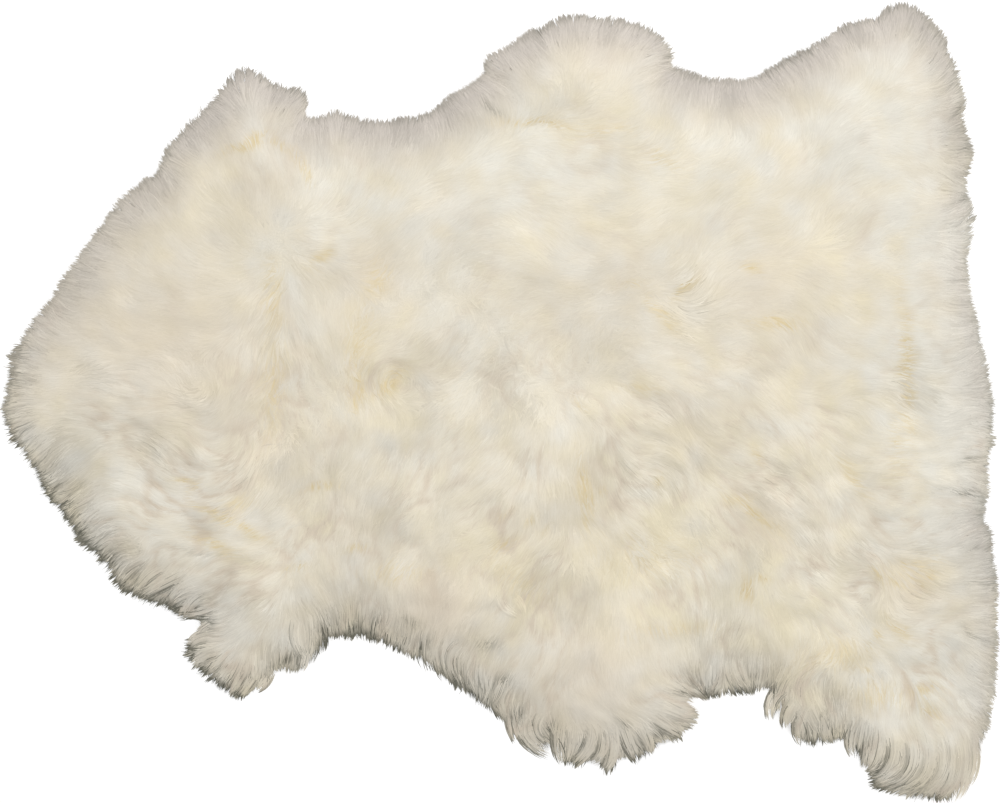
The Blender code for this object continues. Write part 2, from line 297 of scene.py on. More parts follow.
COMBS = placed(
    Comb,
    # Neck and shoulders.
    (-420, 10, 80, 0.45), (-318, 12, 35, 0.6), (-350, -70, 60, 0.55), (-260, -70, 45, 0.7),
    (-240, -190, 50, 0.45), (-240, 60, 50, 0.45), (-230, 140, 30, 0.5),
    # Back and fan.
    (-130, 30, 40, 0.5), (-150, -80, 50, 0.45), (190, 100, 40, 0.9), (20, -60, 70, 0.4),
    (160, -50, 60, 0.65),
    # Loin, haunches and belly.
    (290, -70, 55, 0.7), (340, -150, 50, 0.8), (425, 20, 50, 0.6), (420, -185, 35, 0.8),
    (230, -240, 50, 0.5), (360, -290, 50, 0.6), (0, -200, 50, 0.5),
)


class Trim(NamedTuple):
    """A place on the edge where the wool reaches further out, or less far where its shift is below 0."""

    x: float
    y: float
    reach: float
    shift: float


TRIMS = placed(
    Trim,
    # Neck, throat and breast.
    (-520, 0, 50, 4), (-515, 40, 22, 5), (-482, -92, 22, 6), (-440, -150, 18, 7), (-375, -208, 14, 6),
    (-344, -226, 10, 11),
    # Near foreleg, brisket and belly.
    (-324, -236, 5, -18), (-326, -246, 6, -18), (-312, -244, 5, -12), (-329, -274, 14, 12),
    (-299, -303, 12, 9), (-268, -312, 8, -6), (-236, -290, 10, -12), (-178, -256, 10, -5),
    (-103, -270, 12, -7), (-83, -277, 6, -5), (-60, -292, 10, 4), (-32, -312, 12, 5),
    # Near flank.
    (-17, -326, 6, -5), (6, -348, 6, -9), (25, -366, 5, -10), (49, -369, 5, 12), (57, -352, 4, -30),
    (58, -362, 5, -30), (59, -374, 6, -30), (75, -386, 12, 6), (96, -386, 7, -10), (106, -378, 4, -14),
    (112, -392, 6, 10), (130, -382, 9, -12), (153, -374, 9, 5), (173, -364, 9, -10), (206, -337, 8, 4),
    (200, -320, 8, -8),
    # Groin, stifle and hock.
    (245, -310, 30, -4), (281, -310, 7, -10), (288, -333, 7, 16), (298, -342, 6, -6), (310, -356, 8, -5),
    (350, -366, 10, -5), (366, -366, 9, -12), (388, -395, 8, -9),
    # Near hind leg and rump.
    (412, -416, 12, -8), (497, -398, 25, 12), (516, -338, 16, 6), (522, -285, 30, 4), (515, -95, 18, 6),
    (512, 43, 10, 4),
    # Single places all round.
    (497, 262, 14, 8), (497, 185, 30, 4), (425, 418, 8, 4), (526, -254, 12, 3), (484, -416, 14, 16),
    # Back of the near foreleg.
    (-188, -261, 6, 5), (-214, -285, 8, 7),
    # The far side, from the thigh to the ribs.
    (464, 390, 12, 12), (452, 405, 8, 8), (70, 406, 20, 6), (28, 392, 12, 6), (-14, 362, 9, 5),
    (205, 346, 16, 5), (184, 358, 6, -6), (-107, 301, 8, 4), (-204, 307, 6, -8), (-213, 331, 7, 6),
    (-279, 350, 11, 6), (-388, 225, 16, 6), (-413, 200, 10, 4), (-57, 321, 10, 4), (495, 165, 10, 4),
    (-282, -312, 7, 8), (499, 203, 12, 6), (412, 418, 10, 6), (-452, -136, 8, 6), (524, -195, 14, 4),
    (486, 328, 12, 7), (245, 340, 12, 3),
)


class Tuft(NamedTuple):
    """A lock that lies by itself: its root, bend and tip in plan, its width, paleness, and how dark the
    painted shade is on its side away from the light.
    """

    root: Array
    bend: Array
    tip: Array
    width: float
    pale: float
    shade: float


TUFTS = placed(
    Tuft,
    # Near flank.
    ((4, -290), (-2, -306), (-8, -322), 10, 0, 0.5), ((12, -322), (12, -342), (18, -361), 12, 0, 0.7),
    ((22, -326), (18, -344), (26, -360), 10, 0, 0.7), ((40, -320), (27, -350), (53, -374), 18, 0.3, 1),
    ((48, -322), (38, -345), (50, -360), 10, 0.3, 0.6), ((66, -325), (61, -358), (66, -384), 13, 0.2, 0.9),
    ((76, -330), (74, -362), (70, -384), 12, 0.2, 0.3), ((96, -335), (94, -364), (76, -386), 13, 0.3, 0.6),
    ((108, -335), (109, -366), (97, -382), 13, 0.2, 0.7),
    ((114, -332), (119, -368), (109, -392), 14, 0.5, 0.9),
    ((126, -335), (136, -362), (144, -379), 13, 0.2, 0.9),
    ((142, -332), (155, -356), (159, -373), 13, 0.1, 0.8),
    ((152, -326), (174, -342), (192, -354), 13, 0.2, 0.8),
    ((166, -318), (190, -330), (207, -336), 13, 0.2, 0.3),
    # Near hind leg, hock and stifle.
    ((412, -338), (414, -378), (396, -402), 13, 0.4, 0.9),
    ((426, -335), (434, -382), (408, -408), 14, 0.5, 0.6),
    ((442, -332), (451, -386), (422, -413), 14, 0.7, 0.4),
    ((458, -335), (469, -386), (442, -418), 14, 0.9, 0.3),
    ((472, -338), (482, -390), (461, -421), 14, 1.1, 0.25),
    ((486, -340), (495, -384), (484, -424), 14, 1.3, 0.15),
    ((497, -345), (503, -380), (495, -406), 13, 1.2, 0.2),
    ((378, -328), (371, -356), (374, -376), 11, 0.2, 0.9),
    ((392, -328), (389, -364), (386, -389), 11, 0.3, 0.9),
    ((306, -300), (289, -317), (287, -338), 12, 0.1, 0.9),
    ((318, -308), (304, -330), (303, -346), 12, 0.2, 0.8),
    ((328, -312), (316, -342), (321, -362), 12, 0.1, 0.8),
    ((346, -315), (343, -342), (350, -362), 12, 0.1, 0.7),
    # Throat and breast.
    ((-349, -172), (-369, -182), (-386, -200), 12, 0.3, 0.6),
    ((-328, -178), (-356, -192), (-379, -205), 14, 0.5, 0.9),
    ((-308, -200), (-326, -212), (-339, -230), 12, 0.3, 0.9),
    ((-296, -214), (-314, -222), (-336, -228), 9, 0.2, 0.8),
    # Near foreleg.
    ((-300, -230), (-312, -238), (-322, -245), 8, 0.2, 0.6),
    ((-298, -246), (-318, -249), (-331, -259), 12, 0.3, 0.6),
    ((-294, -262), (-313, -270), (-328, -280), 12, 0.2, 0.5),
    ((-268, -280), (-277, -297), (-286, -311), 10, 0.2, 0.9),
    ((-257, -284), (-266, -300), (-277, -313), 10, 0.2, 0.6),
    ((-244, -284), (-250, -297), (-259, -306), 9, 0.2, 0.6),
    ((-212, -225), (-216, -248), (-208, -272), 10, 0.4, 0.6),
    ((-206, -255), (-208, -272), (-212, -286), 10, 0.2, 0.9),
    # Belly.
    ((-34, -252), (-52, -268), (-46, -298), 10, 0.5, 0.6),
    ((0, -200), (4, -214), (18, -224), 10, 0.8, 0.15), ((12, -202), (20, -210), (26, -223), 8, 0.9, 0.1),
)


def capped(values: Array) -> Array:
    """Return the values held between 0 and 1."""
    return np.clip(values, 0.0, 1.0)


def unit(vectors: Array) -> Array:
    """Return the vectors, along the last axis, at length 1."""
    return vectors / np.maximum(np.linalg.norm(vectors, axis=-1, keepdims=True), TINY)


def left_of(ahead: Array) -> Array:
    """Return the vectors in plan turned a quarter to their left."""
    return np.stack((-ahead[..., 1], ahead[..., 0]), axis=-1)


def twice_area(loop: Array) -> float:
    """Return twice the area inside a closed loop in plan, below 0 where it runs clockwise."""
    x, y = loop.T
    return float(np.sum(x * np.roll(y, -1) - np.roll(x, -1) * y))


def along(path: Array, at: Array) -> Array:
    """Return points on paths, between their nodes.

    Args:
        path: nodes by path, step and axis.
        at: how many steps along its path each point lies, by path and point.

    Returns:
        Points by path, point and axis.
    """
    row = np.arange(len(path))[:, None]
    step = np.minimum(at.astype(int), path.shape[1] - 2)
    within = (at - step)[:, :, None]
    return path[row, step] * (1.0 - within) + path[row, step + 1] * within


def lattice(low: Array, high: Array, pitch: float) -> Array:
    """Return the corners of a lattice of even triangles over a box.

    Args:
        low: the box's lower corner in plan.
        high: its upper corner.
        pitch: the side of the triangles.

    Returns:
        The corners, a row each.
    """
    row_gap = pitch * math.sin(math.radians(60.0))
    rows = np.arange(math.floor(low[1] / row_gap), math.ceil(high[1] / row_gap) + 1)
    columns = np.arange(math.floor(low[0] / pitch), math.ceil(high[0] / pitch) + 1)
    row, column = np.meshgrid(rows, columns)
    x = (column + 0.5 * (row % 2)) * pitch
    return np.column_stack((x.ravel(), (row * row_gap).ravel()))


def shown(name: str, data: bpy.types.ID) -> bpy.types.Object:
    """Return a new object in the scene.

    Args:
        name: its name.
        data: the mesh, light or camera that it shows.

    Returns:
        The object.
    """
    piece = bpy.data.objects.new(name, data)
    bpy.context.scene.collection.objects.link(piece)
    return piece


def dress(mesh: bpy.types.Mesh, values: dict[str, Array]) -> None:
    """Give a mesh's points their named values, which the dye reads."""
    for label, by_point in values.items():
        mesh.attributes.new(label, "FLOAT", "POINT").data.foreach_set("value", by_point.astype(np.float32))


@dataclass
class Plan:
    """The skin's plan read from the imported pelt: grids of how far in a point lies and how high the wool is.

    A grid's rows run along Y and its columns along X. Outside the pelt the wool is as high as its rim.
    """

    pitch: float = 0.0025
    margin: float = 0.045
    wool_rim: float = 0.006
    line_softness: float = 0.006
    line_settling: float = 0.35
    line_rounds: int = 60
    outline: Array = field(init=False)
    low: Array = field(init=False)
    x: Array = field(init=False)
    y: Array = field(init=False)
    inset: Array = field(init=False)
    top: Array = field(init=False)

    def __post_init__(self) -> None:
        """Read the outline, the insets and the heights."""
        pelt = bmesh.new()
        pelt.from_mesh(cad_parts[PELT].data)
        bmesh.ops.remove_doubles(pelt, verts=pelt.verts, dist=1e-6)
        self.outline = self._outline(pelt)
        self.low = self.outline.min(axis=0) - self.margin
        size = self.outline.max(axis=0) + self.margin - self.low
        columns, rows = (math.ceil(side / self.pitch) + 1 for side in size)
        self.x, self.y = np.meshgrid(
            self.low[0] + self.pitch * np.arange(columns), self.low[1] + self.pitch * np.arange(rows)
        )
        self.inset = self._insets()
        self.top = self._tops(BVHTree.FromBMesh(pelt))
        pelt.free()

    @property
    def shape(self) -> tuple[int, int]:
        """Return the grids' number of rows and of columns."""
        return self.x.shape

    @staticmethod
    def _outline(pelt: bmesh.types.BMesh) -> Array:
        """Return the underside's edge as a closed loop of points in plan, anticlockwise.

        Args:
            pelt: the pelt's mesh with its corners merged.

        Returns:
            The loop's points, a row each.
        """
        under = {face for face in pelt.faces if face.normal.z < -0.99}
        rim = [edge for edge in pelt.edges if sum(face in under for face in edge.link_faces) == 1]
        beside: dict[bmesh.types.BMVert, list[bmesh.types.BMVert]] = {}
        for edge in rim:
            for vert in edge.verts:
                beside.setdefault(vert, []).append(edge.other_vert(vert))
        first = rim[0].verts[0]
        last, vert = first, beside[first][0]
        loop = [first.co.xy]
        while vert is not first:
            loop.append(vert.co.xy)
            last, vert = vert, next(other for other in beside[vert] if other is not last)
        points = np.array(loop)
        return points if twice_area(points) > 0.0 else points[::-1]

    def _insets(self) -> Array:
        """Return the distance to the outline at every grid point, negative outside it."""
        starts = self.outline
        runs = np.roll(starts, -1, axis=0) - starts
        ends = starts + runs
        insets = np.empty(self.shape)
        for row, (xs, ys) in enumerate(zip(self.x, self.y)):
            offsets = np.column_stack((xs, ys))[:, None, :] - starts[None, :, :]
            shares = capped(np.sum(offsets * runs, axis=2) / np.sum(runs * runs, axis=1))
            feet = offsets - shares[:, :, None] * runs
            distance = np.sqrt(np.min(np.sum(feet * feet, axis=2), axis=1))
            spans = (starts[:, 1] > ys[0]) != (ends[:, 1] > ys[0])
            rise = np.where(runs[:, 1] == 0.0, 1.0, runs[:, 1])
            crossings = starts[:, 0] + (ys[0] - starts[:, 1]) / rise * runs[:, 0]
            inside = np.sum(spans[None, :] & (crossings[None, :] > xs[:, None]), axis=1) % 2 == 1
            insets[row] = np.where(inside, distance, -distance)
        return insets

    def _tops(self, pelt: BVHTree) -> Array:
        """Return the pelt's height at every grid point.

        Args:
            pelt: the pelt's faces, for rays to hit.

        Returns:
            The heights, and the wool's rim outside the pelt.
        """
        tops = np.full(self.shape, self.wool_rim)
        down = Vector((0.0, 0.0, -1.0))
        for row, column in np.argwhere(self.inset > 0.0):
            hit = pelt.ray_cast(Vector((self.x[row, column], self.y[row, column], 1.0)), down)[0]
            if hit is not None:
                tops[row, column] = hit.z
        return tops

    def sample(self, grid: Array, x: Array, y: Array) -> Array:
        """Return a grid's values at points in plan, evened between its four nearest corners.

        Args:
            grid: the grid.
            x: the points' places along X.
            y: their places along Y, in the same shape.

        Returns:
            The values, in that shape.
        """
        column = np.clip((x - self.low[0]) / self.pitch, 0.0, self.shape[1] - 1.001)
        row = np.clip((y - self.low[1]) / self.pitch, 0.0, self.shape[0] - 1.001)
        left = column.astype(int)
        lower = row.astype(int)
        right_share = column - left
        upper_share = row - lower
        below = grid[lower, left] * (1.0 - right_share) + grid[lower, left + 1] * right_share
        above = grid[lower + 1, left] * (1.0 - right_share) + grid[lower + 1, left + 1] * right_share
        return below * (1.0 - upper_share) + above * upper_share

    def soften(self, grid: Array, radius: float) -> Array:
        """Return a grid blurred.

        Args:
            grid: the grid.
            radius: the blur's spread.

        Returns:
            The blurred grid.
        """
        cells = max(radius / self.pitch, 0.3)
        reach = math.ceil(3.0 * cells)
        steps = np.arange(-reach, reach + 1)
        weights = np.exp(-0.5 * (steps / cells) ** 2)
        weights /= weights.sum()
        padded = np.pad(grid, reach, mode="edge")
        across = sum(weight * padded[:, i : i + self.shape[1]] for i, weight in enumerate(weights))
        return sum(weight * across[i : i + self.shape[0], :] for i, weight in enumerate(weights))

    def noise(self, rng: Random, scale: float) -> Array:
        """Return smooth noise of a given scale, even over the plan, with a spread of 1."""
        rough = self.soften(rng.standard_normal(self.shape), scale)
        return (rough - rough.mean()) / rough.std()

    def bell(self, place: Stroke | Tint | Comb | Trim) -> Array:
        """Return a bell over the plan that is 1 at a table's place and fades over its reach."""
        return np.exp(-((self.x - place.x) ** 2 + (self.y - place.y) ** 2) / place.reach**2)

    def level_line(self, depth: float, least_step: float) -> Array:
        """Return the closed line that runs at a given depth inside the outline.

        Args:
            depth: how far inside the outline it runs.
            least_step: the least distance between its points.

        Returns:
            The line's points, in the outline's order.
        """
        slope_y, slope_x = np.gradient(self.soften(self.inset, self.line_softness), self.pitch)
        points = self.outline.copy()
        for _ in range(self.line_rounds):
            x, y = points.T
            slopes = unit(np.column_stack((self.sample(slope_x, x, y), self.sample(slope_y, x, y))))
            missing = depth - self.sample(self.inset, x, y)
            points += self.line_settling * missing[:, None] * slopes
        kept = [points[0]]
        for point in points[1:]:
            if np.linalg.norm(point - kept[-1]) >= least_step:
                kept.append(point)
        return np.array(kept)

    def sheet(self, line: Array, depth: float, pitch: float) -> tuple[list[Vector], list[list[int]]]:
        """Return a flat sheet of even triangles inside a line.

        Args:
            line: the sheet's edge, a closed line of points in plan.
            depth: how far inside the outline that line runs.
            pitch: the side of the triangles.

        Returns:
            The sheet's points, and its faces as indices of them.
        """
        inner = lattice(line.min(axis=0), line.max(axis=0), pitch)
        inner = inner[self.sample(self.inset, *inner.T) > depth + 0.5 * pitch]
        corners = [Vector(point) for point in np.vstack((line, inner))]
        sides = [(index, (index + 1) % len(line)) for index in range(len(line))]
        points, _, faces, _, _, _ = delaunay_2d_cdt(corners, sides, [], 1, 1e-7)
        return points, faces


@dataclass
class Groom:
    """How the wool lies: its heading at every place, from the edges' pull, the brush strokes and the whorls.

    Outward is the way to the nearest edge. The sureness is how well the pulls on a place agree, and the lee
    how much its nearest edge looks away from the light, both from 0 to 1. The swirl is the locks' own sway.
    """

    plan: Plan
    seed: int = 11
    softness: float = 0.010
    edge_reach: float = 0.048
    edge_strength: float = 2.0
    least_edge: float = 0.10
    firm_stroke: float = 1.5
    whorl_strength: float = 2.2
    sure_pull: float = 0.55
    outward: tuple[Array, Array] = field(init=False)
    east: Array = field(init=False)
    north: Array = field(init=False)
    sureness: Array = field(init=False)
    swirl: Array = field(init=False)
    lee: Array = field(init=False)

    def __post_init__(self) -> None:
        """Lay out the headings."""
        rng = np.random.default_rng(self.seed)
        plan = self.plan
        inset = plan.soften(plan.inset, self.softness)
        slope_y, slope_x = np.gradient(inset, plan.pitch)
        length = np.maximum(np.hypot(slope_x, slope_y), 1e-6)
        self.outward = (-slope_x / length, -slope_y / length)
        self.lee = capped(0.2 + LIGHT_LEE[1] * self.outward[1] + LIGHT_LEE[0] * self.outward[0])
        east, north, brushed = np.zeros((3, *plan.shape))
        for stroke in STROKES:
            heading = math.radians(stroke.heading_deg)
            weight = stroke.strength * plan.bell(stroke)
            brushed += np.maximum(weight - self.firm_stroke, 0.0)
            east += weight * math.cos(heading)
            north += weight * math.sin(heading)
        inward = np.maximum(inset, 0.0) / self.edge_reach
        edge = self.edge_strength * np.exp(-(inward**2)) + self.least_edge
        edge /= 1.0 + 0.4 * brushed
        east += edge * self.outward[0]
        north += edge * self.outward[1]
        for whorl in WHORLS:
            across = (plan.x - whorl.x) / whorl.reach
            up = (plan.y - whorl.y) / whorl.reach
            weight = self.whorl_strength * whorl.spin * np.exp(-(across**2) - up**2)
            east -= weight * up
            north += weight * across
        length = np.maximum(np.hypot(east, north), 1e-6)
        self.east, self.north = east / length, north / length
        self.sureness = capped(length / self.sure_pull)
        self.swirl = 0.30 * plan.noise(rng, 0.026) + 0.20 * plan.noise(rng, 0.011)

    def heading_at(self, x: Array, y: Array) -> Array:
        """Return the wool's heading at points in plan, with the locks' own sway.

        Args:
            x: the points' places along X.
            y: their places along Y.

        Returns:
            The headings in radians.
        """
        east = self.plan.sample(self.east, x, y)
        north = self.plan.sample(self.north, x, y)
        calm = np.clip(self.plan.sample(self.plan.inset, x, y) / 0.060, 0.50, 1.0)
        return np.arctan2(north, east) + calm * self.plan.sample(self.swirl, x, y)

    def near_side(self, x: Array, y: Array) -> Array:
        """Return from 0 to 1 how much the wool at each point is the long wool of the near edge."""
        depth = self.plan.sample(self.plan.inset, x, y)
        return self.plan.sample(self.lee, x, y) * capped(2.0 - depth / 0.040)


@dataclass
class Growth:
    """Wool grown in plan: each path, and what the lock that it belongs to has given it.

    A border of 0 is the middle of the lock and 1 its edge.
    """

    roots: Array
    path: Array
    tone: Array
    reach: Array
    lift: Array
    border: Array
    outer_border: Array

    def nearest(self, points: Array) -> Array:
        """Return which root is nearest to each point.

        Args:
            points: the points in plan, a row each.

        Returns:
            The roots' indices.
        """
        tree = KDTree(len(self.roots))
        for index, (x, y) in enumerate(self.roots):
            tree.insert((x, y, 0.0), index)
        tree.balance()
        return np.array([tree.find((x, y, 0.0))[1] for x, y in points])


@dataclass(frozen=True)
class Gather:
    """How a kind of growth sways and bends, how uneven its reach is, and how the growth above draws it in.

    A name with near is what the near edge adds.
    """

    sway: float
    bend: float
    uneven: float
    near_uneven: float
    pull: float = 0.0
    near_pull: float = 0.0
    narrowing: float = 0.0


@dataclass
class Grower:
    """Grows wool in plan over the groom, in locks that hold wisps that hold strands."""

    groom: Groom
    seed: int = 23
    hide_inset: float = 0.021
    least_inset: float = 0.016
    lock_spacing: float = 0.015
    wisp_spacing: float = 0.0038
    length: float = 0.031
    near_length: float = 0.014
    crimp_length: float = 0.030
    steps: int = 10
    lock_gather: Gather = Gather(sway=0.22, bend=0.40, uneven=0.0020, near_uneven=0.0028)
    wisp_gather: Gather = Gather(
        sway=0.18, bend=0.35, uneven=0.0011, near_uneven=0.0003, pull=0.45, near_pull=0.10, narrowing=0.20
    )
    locks: Growth = field(init=False)
    wisps: Growth = field(init=False)

    def __post_init__(self) -> None:
        """Grow the locks over the whole skin, and the wisps inside them."""
        rng = np.random.default_rng(self.seed)
        roots = self.roots(rng, self.lock_spacing, self.least_inset)
        self.locks = self.gathered(rng, roots, None, self.lock_spacing, self.lock_gather)
        roots = self.roots(rng, self.wisp_spacing, self.least_inset)
        self.wisps = self.gathered(rng, roots, self.locks, self.lock_spacing, self.wisp_gather)

    def roots(self, rng: Random, spacing: float, least: float, greatest: float = math.inf) -> Array:
        """Return evenly scattered roots.

        Args:
            rng: the source of their unevenness.
            spacing: how far apart they stand.
            least: their least distance to the outline.
            greatest: their greatest distance to it.

        Returns:
            Their places in plan, a row each.
        """
        plan = self.groom.plan
        high = plan.low + plan.pitch * np.array([plan.shape[1], plan.shape[0]])
        points = lattice(plan.low, high, spacing)
        points = points + rng.uniform(-0.5, 0.5, points.shape) * spacing
        depth = plan.sample(plan.inset, *points.T)
        return points[(depth > least) & (depth < greatest)]

    def _paths(self, rng: Random, roots: Array, length: Array, sway: Array, bend: Array) -> Array:
        """Return paths in plan that follow the groom, each in its own way.

        Args:
            rng: the source of their unevenness.
            roots: where they grow, a row each.
            length: their lengths in plan.
            sway: the spread of what each adds to the groom's heading, in radians.
            bend: the spread of how far each has turned at its tip, in radians.

        Returns:
            Points by strand, step and axis.
        """
        count = len(roots)
        unsure = 1.0 - self.groom.plan.sample(self.groom.sureness, *roots.T)
        own_sway = rng.normal(0.0, 1.0, count) * (sway + 0.8 * unsure)
        own_bend = rng.normal(0.0, 1.0, count) * bend
        crimp = rng.uniform(0.02, 0.18, count)
        phase = rng.uniform(0.0, FULL_TURN, count)
        path = np.empty((count, self.steps + 1, 2))
        path[:, 0] = roots
        start = self.groom.heading_at(*roots.T)
        stride = (length / self.steps)[:, None]
        for step in range(self.steps):
            share = (step + 0.5) / self.steps
            turn = np.angle(np.exp(1j * (self.groom.heading_at(*path[:, step].T) - start)))
            swing = crimp * np.sin(phase + share * length * FULL_TURN / self.crimp_length)
            heading = start + 0.85 * turn + own_sway + own_bend * (share - 0.3) + swing
            path[:, step + 1] = path[:, step] + stride * np.column_stack((np.cos(heading), np.sin(heading)))
        return path

    def _lengths(self, rng: Random, roots: Array) -> Array:
        """Return each strand's length in plan: those rooted near the outline are long enough to reach it.

        Args:
            rng: the source of their unevenness.
            roots: where they grow, a row each.

        Returns:
            The lengths.
        """
        depth = self.groom.plan.sample(self.groom.plan.inset, *roots.T)
        near = self.groom.near_side(*roots.T)
        own = (self.length + self.near_length * near) * rng.uniform(0.75, 1.15, len(roots))
        edge = capped(1.0 - (depth - self.hide_inset) / 0.024)
        return own + edge * np.maximum(depth * 1.20 + 0.012 - own, 0.0)

    def gathered(
        self, rng: Random, roots: Array, parents: Growth | None, parent_spacing: float, gather: Gather
    ) -> Growth:
        """Return growth from roots, drawn towards the parents' paths on its way to the tips.

        Args:
            rng: the source of its unevenness.
            roots: where it grows, a row each.
            parents: the locks or wisps that draw it in, or None.
            parent_spacing: how far apart the parents stand.
            gather: how they draw it in.

        Returns:
            The growth.
        """
        count = len(roots)
        near = self.groom.near_side(*roots.T)
        sway = gather.sway * (1.0 - 0.3 * near)
        bend = gather.bend * (1.0 - 0.2 * near)
        path = self._paths(rng, roots, self._lengths(rng, roots), sway, bend)
        tone = rng.normal(0.0, 1.0, count)
        reach = rng.normal(0.0, 1.0, count) * (gather.uneven + gather.near_uneven * near)
        lift = rng.uniform(0.75, 1.25, count)
        if parents is None:
            return Growth(roots, path, tone, reach, lift, np.zeros(count), np.zeros(count))
        mother = parents.nearest(roots)
        apart = roots - parents.roots[mother]
        far_out = np.hypot(*apart.T)
        share = np.linspace(0.0, 1.0, self.steps + 1)[None, :, None]
        drawn = parents.path[mother] + (1.0 - gather.narrowing * share) * apart[:, None, :]
        pull = np.clip((gather.pull + gather.near_pull * near) * rng.uniform(0.8, 1.1, count), 0.0, 0.97)
        path += pull[:, None, None] * share**1.1 * (drawn - path)
        return Growth(
            roots=roots,
            path=path,
            tone=0.75 * parents.tone[mother] + 0.66 * tone,
            reach=parents.reach[mother] + reach - (0.30 + 0.25 * near) * far_out,
            lift=lift * parents.lift[mother],
            border=capped(far_out / (0.62 * parent_spacing)),
            outer_border=parents.border[mother],
        )


@dataclass
class Bed:
    """The underwool's surface, which the strands lie on, and the wool's looks over the plan.

    Of its grids, yolk is how yellow the wool is, chill how cool above 0 or creamy below, hollow how fawn,
    partly painted shade in the creases, and rim how ashen, partly painted shade. The grid of the dark gap
    marks and that of the edge's dark side are painted shade, and the grid of painted light lifts that shade
    and lightens the mottle; mottle and tone are lighter above 0. Crisp is how much the hairs stand apart, and
    trim how far the edge is shifted outward.
    """

    grower: Grower
    seed: int = 31
    clearance: float = 0.0045
    floor_gap: float = 0.0015
    puff_height: float = 0.0020
    comb_height: float = 0.0004
    lock_height: float = 0.0012
    softness: float = 0.0025
    lock_softness: float = 0.0022
    least_crisp: float = 0.04
    height: Array = field(init=False)
    slope: tuple[Array, Array] = field(init=False)
    yolk: Array = field(init=False)
    chill: Array = field(init=False)
    hollow: Array = field(init=False)
    rim: Array = field(init=False)
    gaps: Array = field(init=False)
    gloom: Array = field(init=False)
    glow: Array = field(init=False)
    mottle: Array = field(init=False)
    tone: Array = field(init=False)
    crisp: Array = field(init=False)
    trim: Array = field(init=False)

    def __post_init__(self) -> None:
        """Lay out the bed's height and looks; its far side is smoother than its near side."""
        rng = np.random.default_rng(self.seed)
        far = capped((self.plan.y + 0.06) / 0.16)
        self._lay_relief(rng, far)
        self._lay_colours(rng, far)
        self._lay_edge(rng)

    @property
    def plan(self) -> Plan:
        """Return the skin's plan."""
        return self.grower.groom.plan

    def _lay_relief(self, rng: Random, far: Array) -> None:
        """Lay out how crisp the wool is, and the bed's height: its puffs, creases, hairs and locks.

        Args:
            rng: the source of their unevenness.
            far: from 0 on the near side to 1 on the far side.
        """
        plan = self.plan
        sure = self.grower.groom.sureness**2
        crisp = np.full(plan.shape, 0.08)
        for comb in COMBS:
            crisp = np.maximum(crisp, comb.amount * plan.bell(comb))
        self.crisp = np.clip(crisp * (1.0 + 0.45 * plan.noise(rng, 0.010)) * sure, self.least_crisp, 1.0)
        swell = (0.65 - 0.40 * far) * plan.noise(rng, 0.012)
        swell = swell + (0.75 - 0.50 * far) * self._combed(rng, 0.0070, 0.030)
        swell += 0.75 * far * plan.noise(rng, 0.021)
        dimple = (1.0 - 0.6 * far) * (0.60 * plan.noise(rng, 0.006) + 0.80 * self._combed(rng, 0.0035, 0.018))
        puffs = np.minimum(np.hypot(swell, 0.15 + 0.45 * far), 1.6)
        puffs = puffs + 0.5 * np.minimum(np.hypot(dimple, 0.15), 1.6) - 1.2
        creases = np.exp(-((swell / 0.16) ** 2)) + 0.7 * np.exp(-((dimple / 0.20) ** 2))
        creases *= (1.0 - 0.7 * far) * (0.45 + 0.40 * plan.noise(rng, 0.016))
        # Fawn in the creases between the puffs: partly the wool's own tint, partly painted shade.
        self.hollow = 0.08 + 0.08 * far + capped(creases)
        ridges, self.tone = self._lock_relief(rng)
        hairs = self.comb_height * (1.0 - 0.6 * far + 0.8 * self.crisp) * sure
        hairs = hairs * self._combed(rng, 0.0022, 0.014)
        relief = self.puff_height * (1.0 - 0.3 * far) * puffs + hairs + ridges
        fullness = capped((plan.top - 0.012) / 0.020)
        self.height = np.maximum(plan.top - self.clearance + relief * fullness, self.floor_gap)
        slope_y, slope_x = np.gradient(plan.soften(self.height, self.softness), plan.pitch)
        self.slope = (slope_x, slope_y)

    def _lay_colours(self, rng: Random, far: Array) -> None:
        """Lay out the flecks, the painted shade of the dark gap marks, the tints and the mottling.

        Args:
            rng: the source of their unevenness.
            far: from 0 on the near side to 1 on the far side.
        """
        plan = self.plan
        self.yolk = self._marked(rng, STAINS)
        self.gaps = self._marked(rng, GAPS)
        self.chill = 0.35 * plan.noise(rng, 0.024) + 0.50 * plan.noise(rng, 0.007)
        for tint in TINTS:
            weight = plan.bell(tint)
            self.chill += tint.chill * weight
            self.hollow += tint.fawn * weight
        self.hollow = capped(self.hollow)
        self.mottle = (1.0 - 0.20 * far) * (0.95 * plan.noise(rng, 0.014) + 0.45 * plan.noise(rng, 0.006))

    def _lay_edge(self, rng: Random) -> None:
        """Lay out the edge's reach, its painted shade on the side away from the light and the painted light
        that lifts it, and its ashen rim, partly painted shade, which changes with its facing.

        Args:
            rng: the source of their unevenness.
        """
        plan, groom = self.plan, self.grower.groom
        self.trim = sum(trim.shift * plan.bell(trim) for trim in TRIMS)
        # Painted shade, strongest on the edges that look away from the light.
        self.gloom = capped(0.42 + 0.58 * groom.lee + 0.10 * plan.noise(rng, 0.020))
        self.glow = self._marked(rng, GLOWS)
        # Painted light: the wool is painted lighter where the painted shade is lifted.
        self.mottle += 1.8 * self.glow
        # The rim's ash is partly the edge's own grey and partly painted shade, strongest where the edge faces
        # the light.
        east, north = groom.outward
        facing = 0.40 + 0.60 * capped((north + 0.1) / 0.8) * np.clip((plan.x + 0.55) / 0.25, 0.35, 1.0)
        facing -= 0.15 * capped(east) + 0.20 * groom.lee
        facing += 0.18 * capped(east) * capped(1.0 - np.abs(plan.inset - 0.010) / 0.009)
        self.rim = capped((0.062 - plan.inset) / 0.050) * capped(facing)

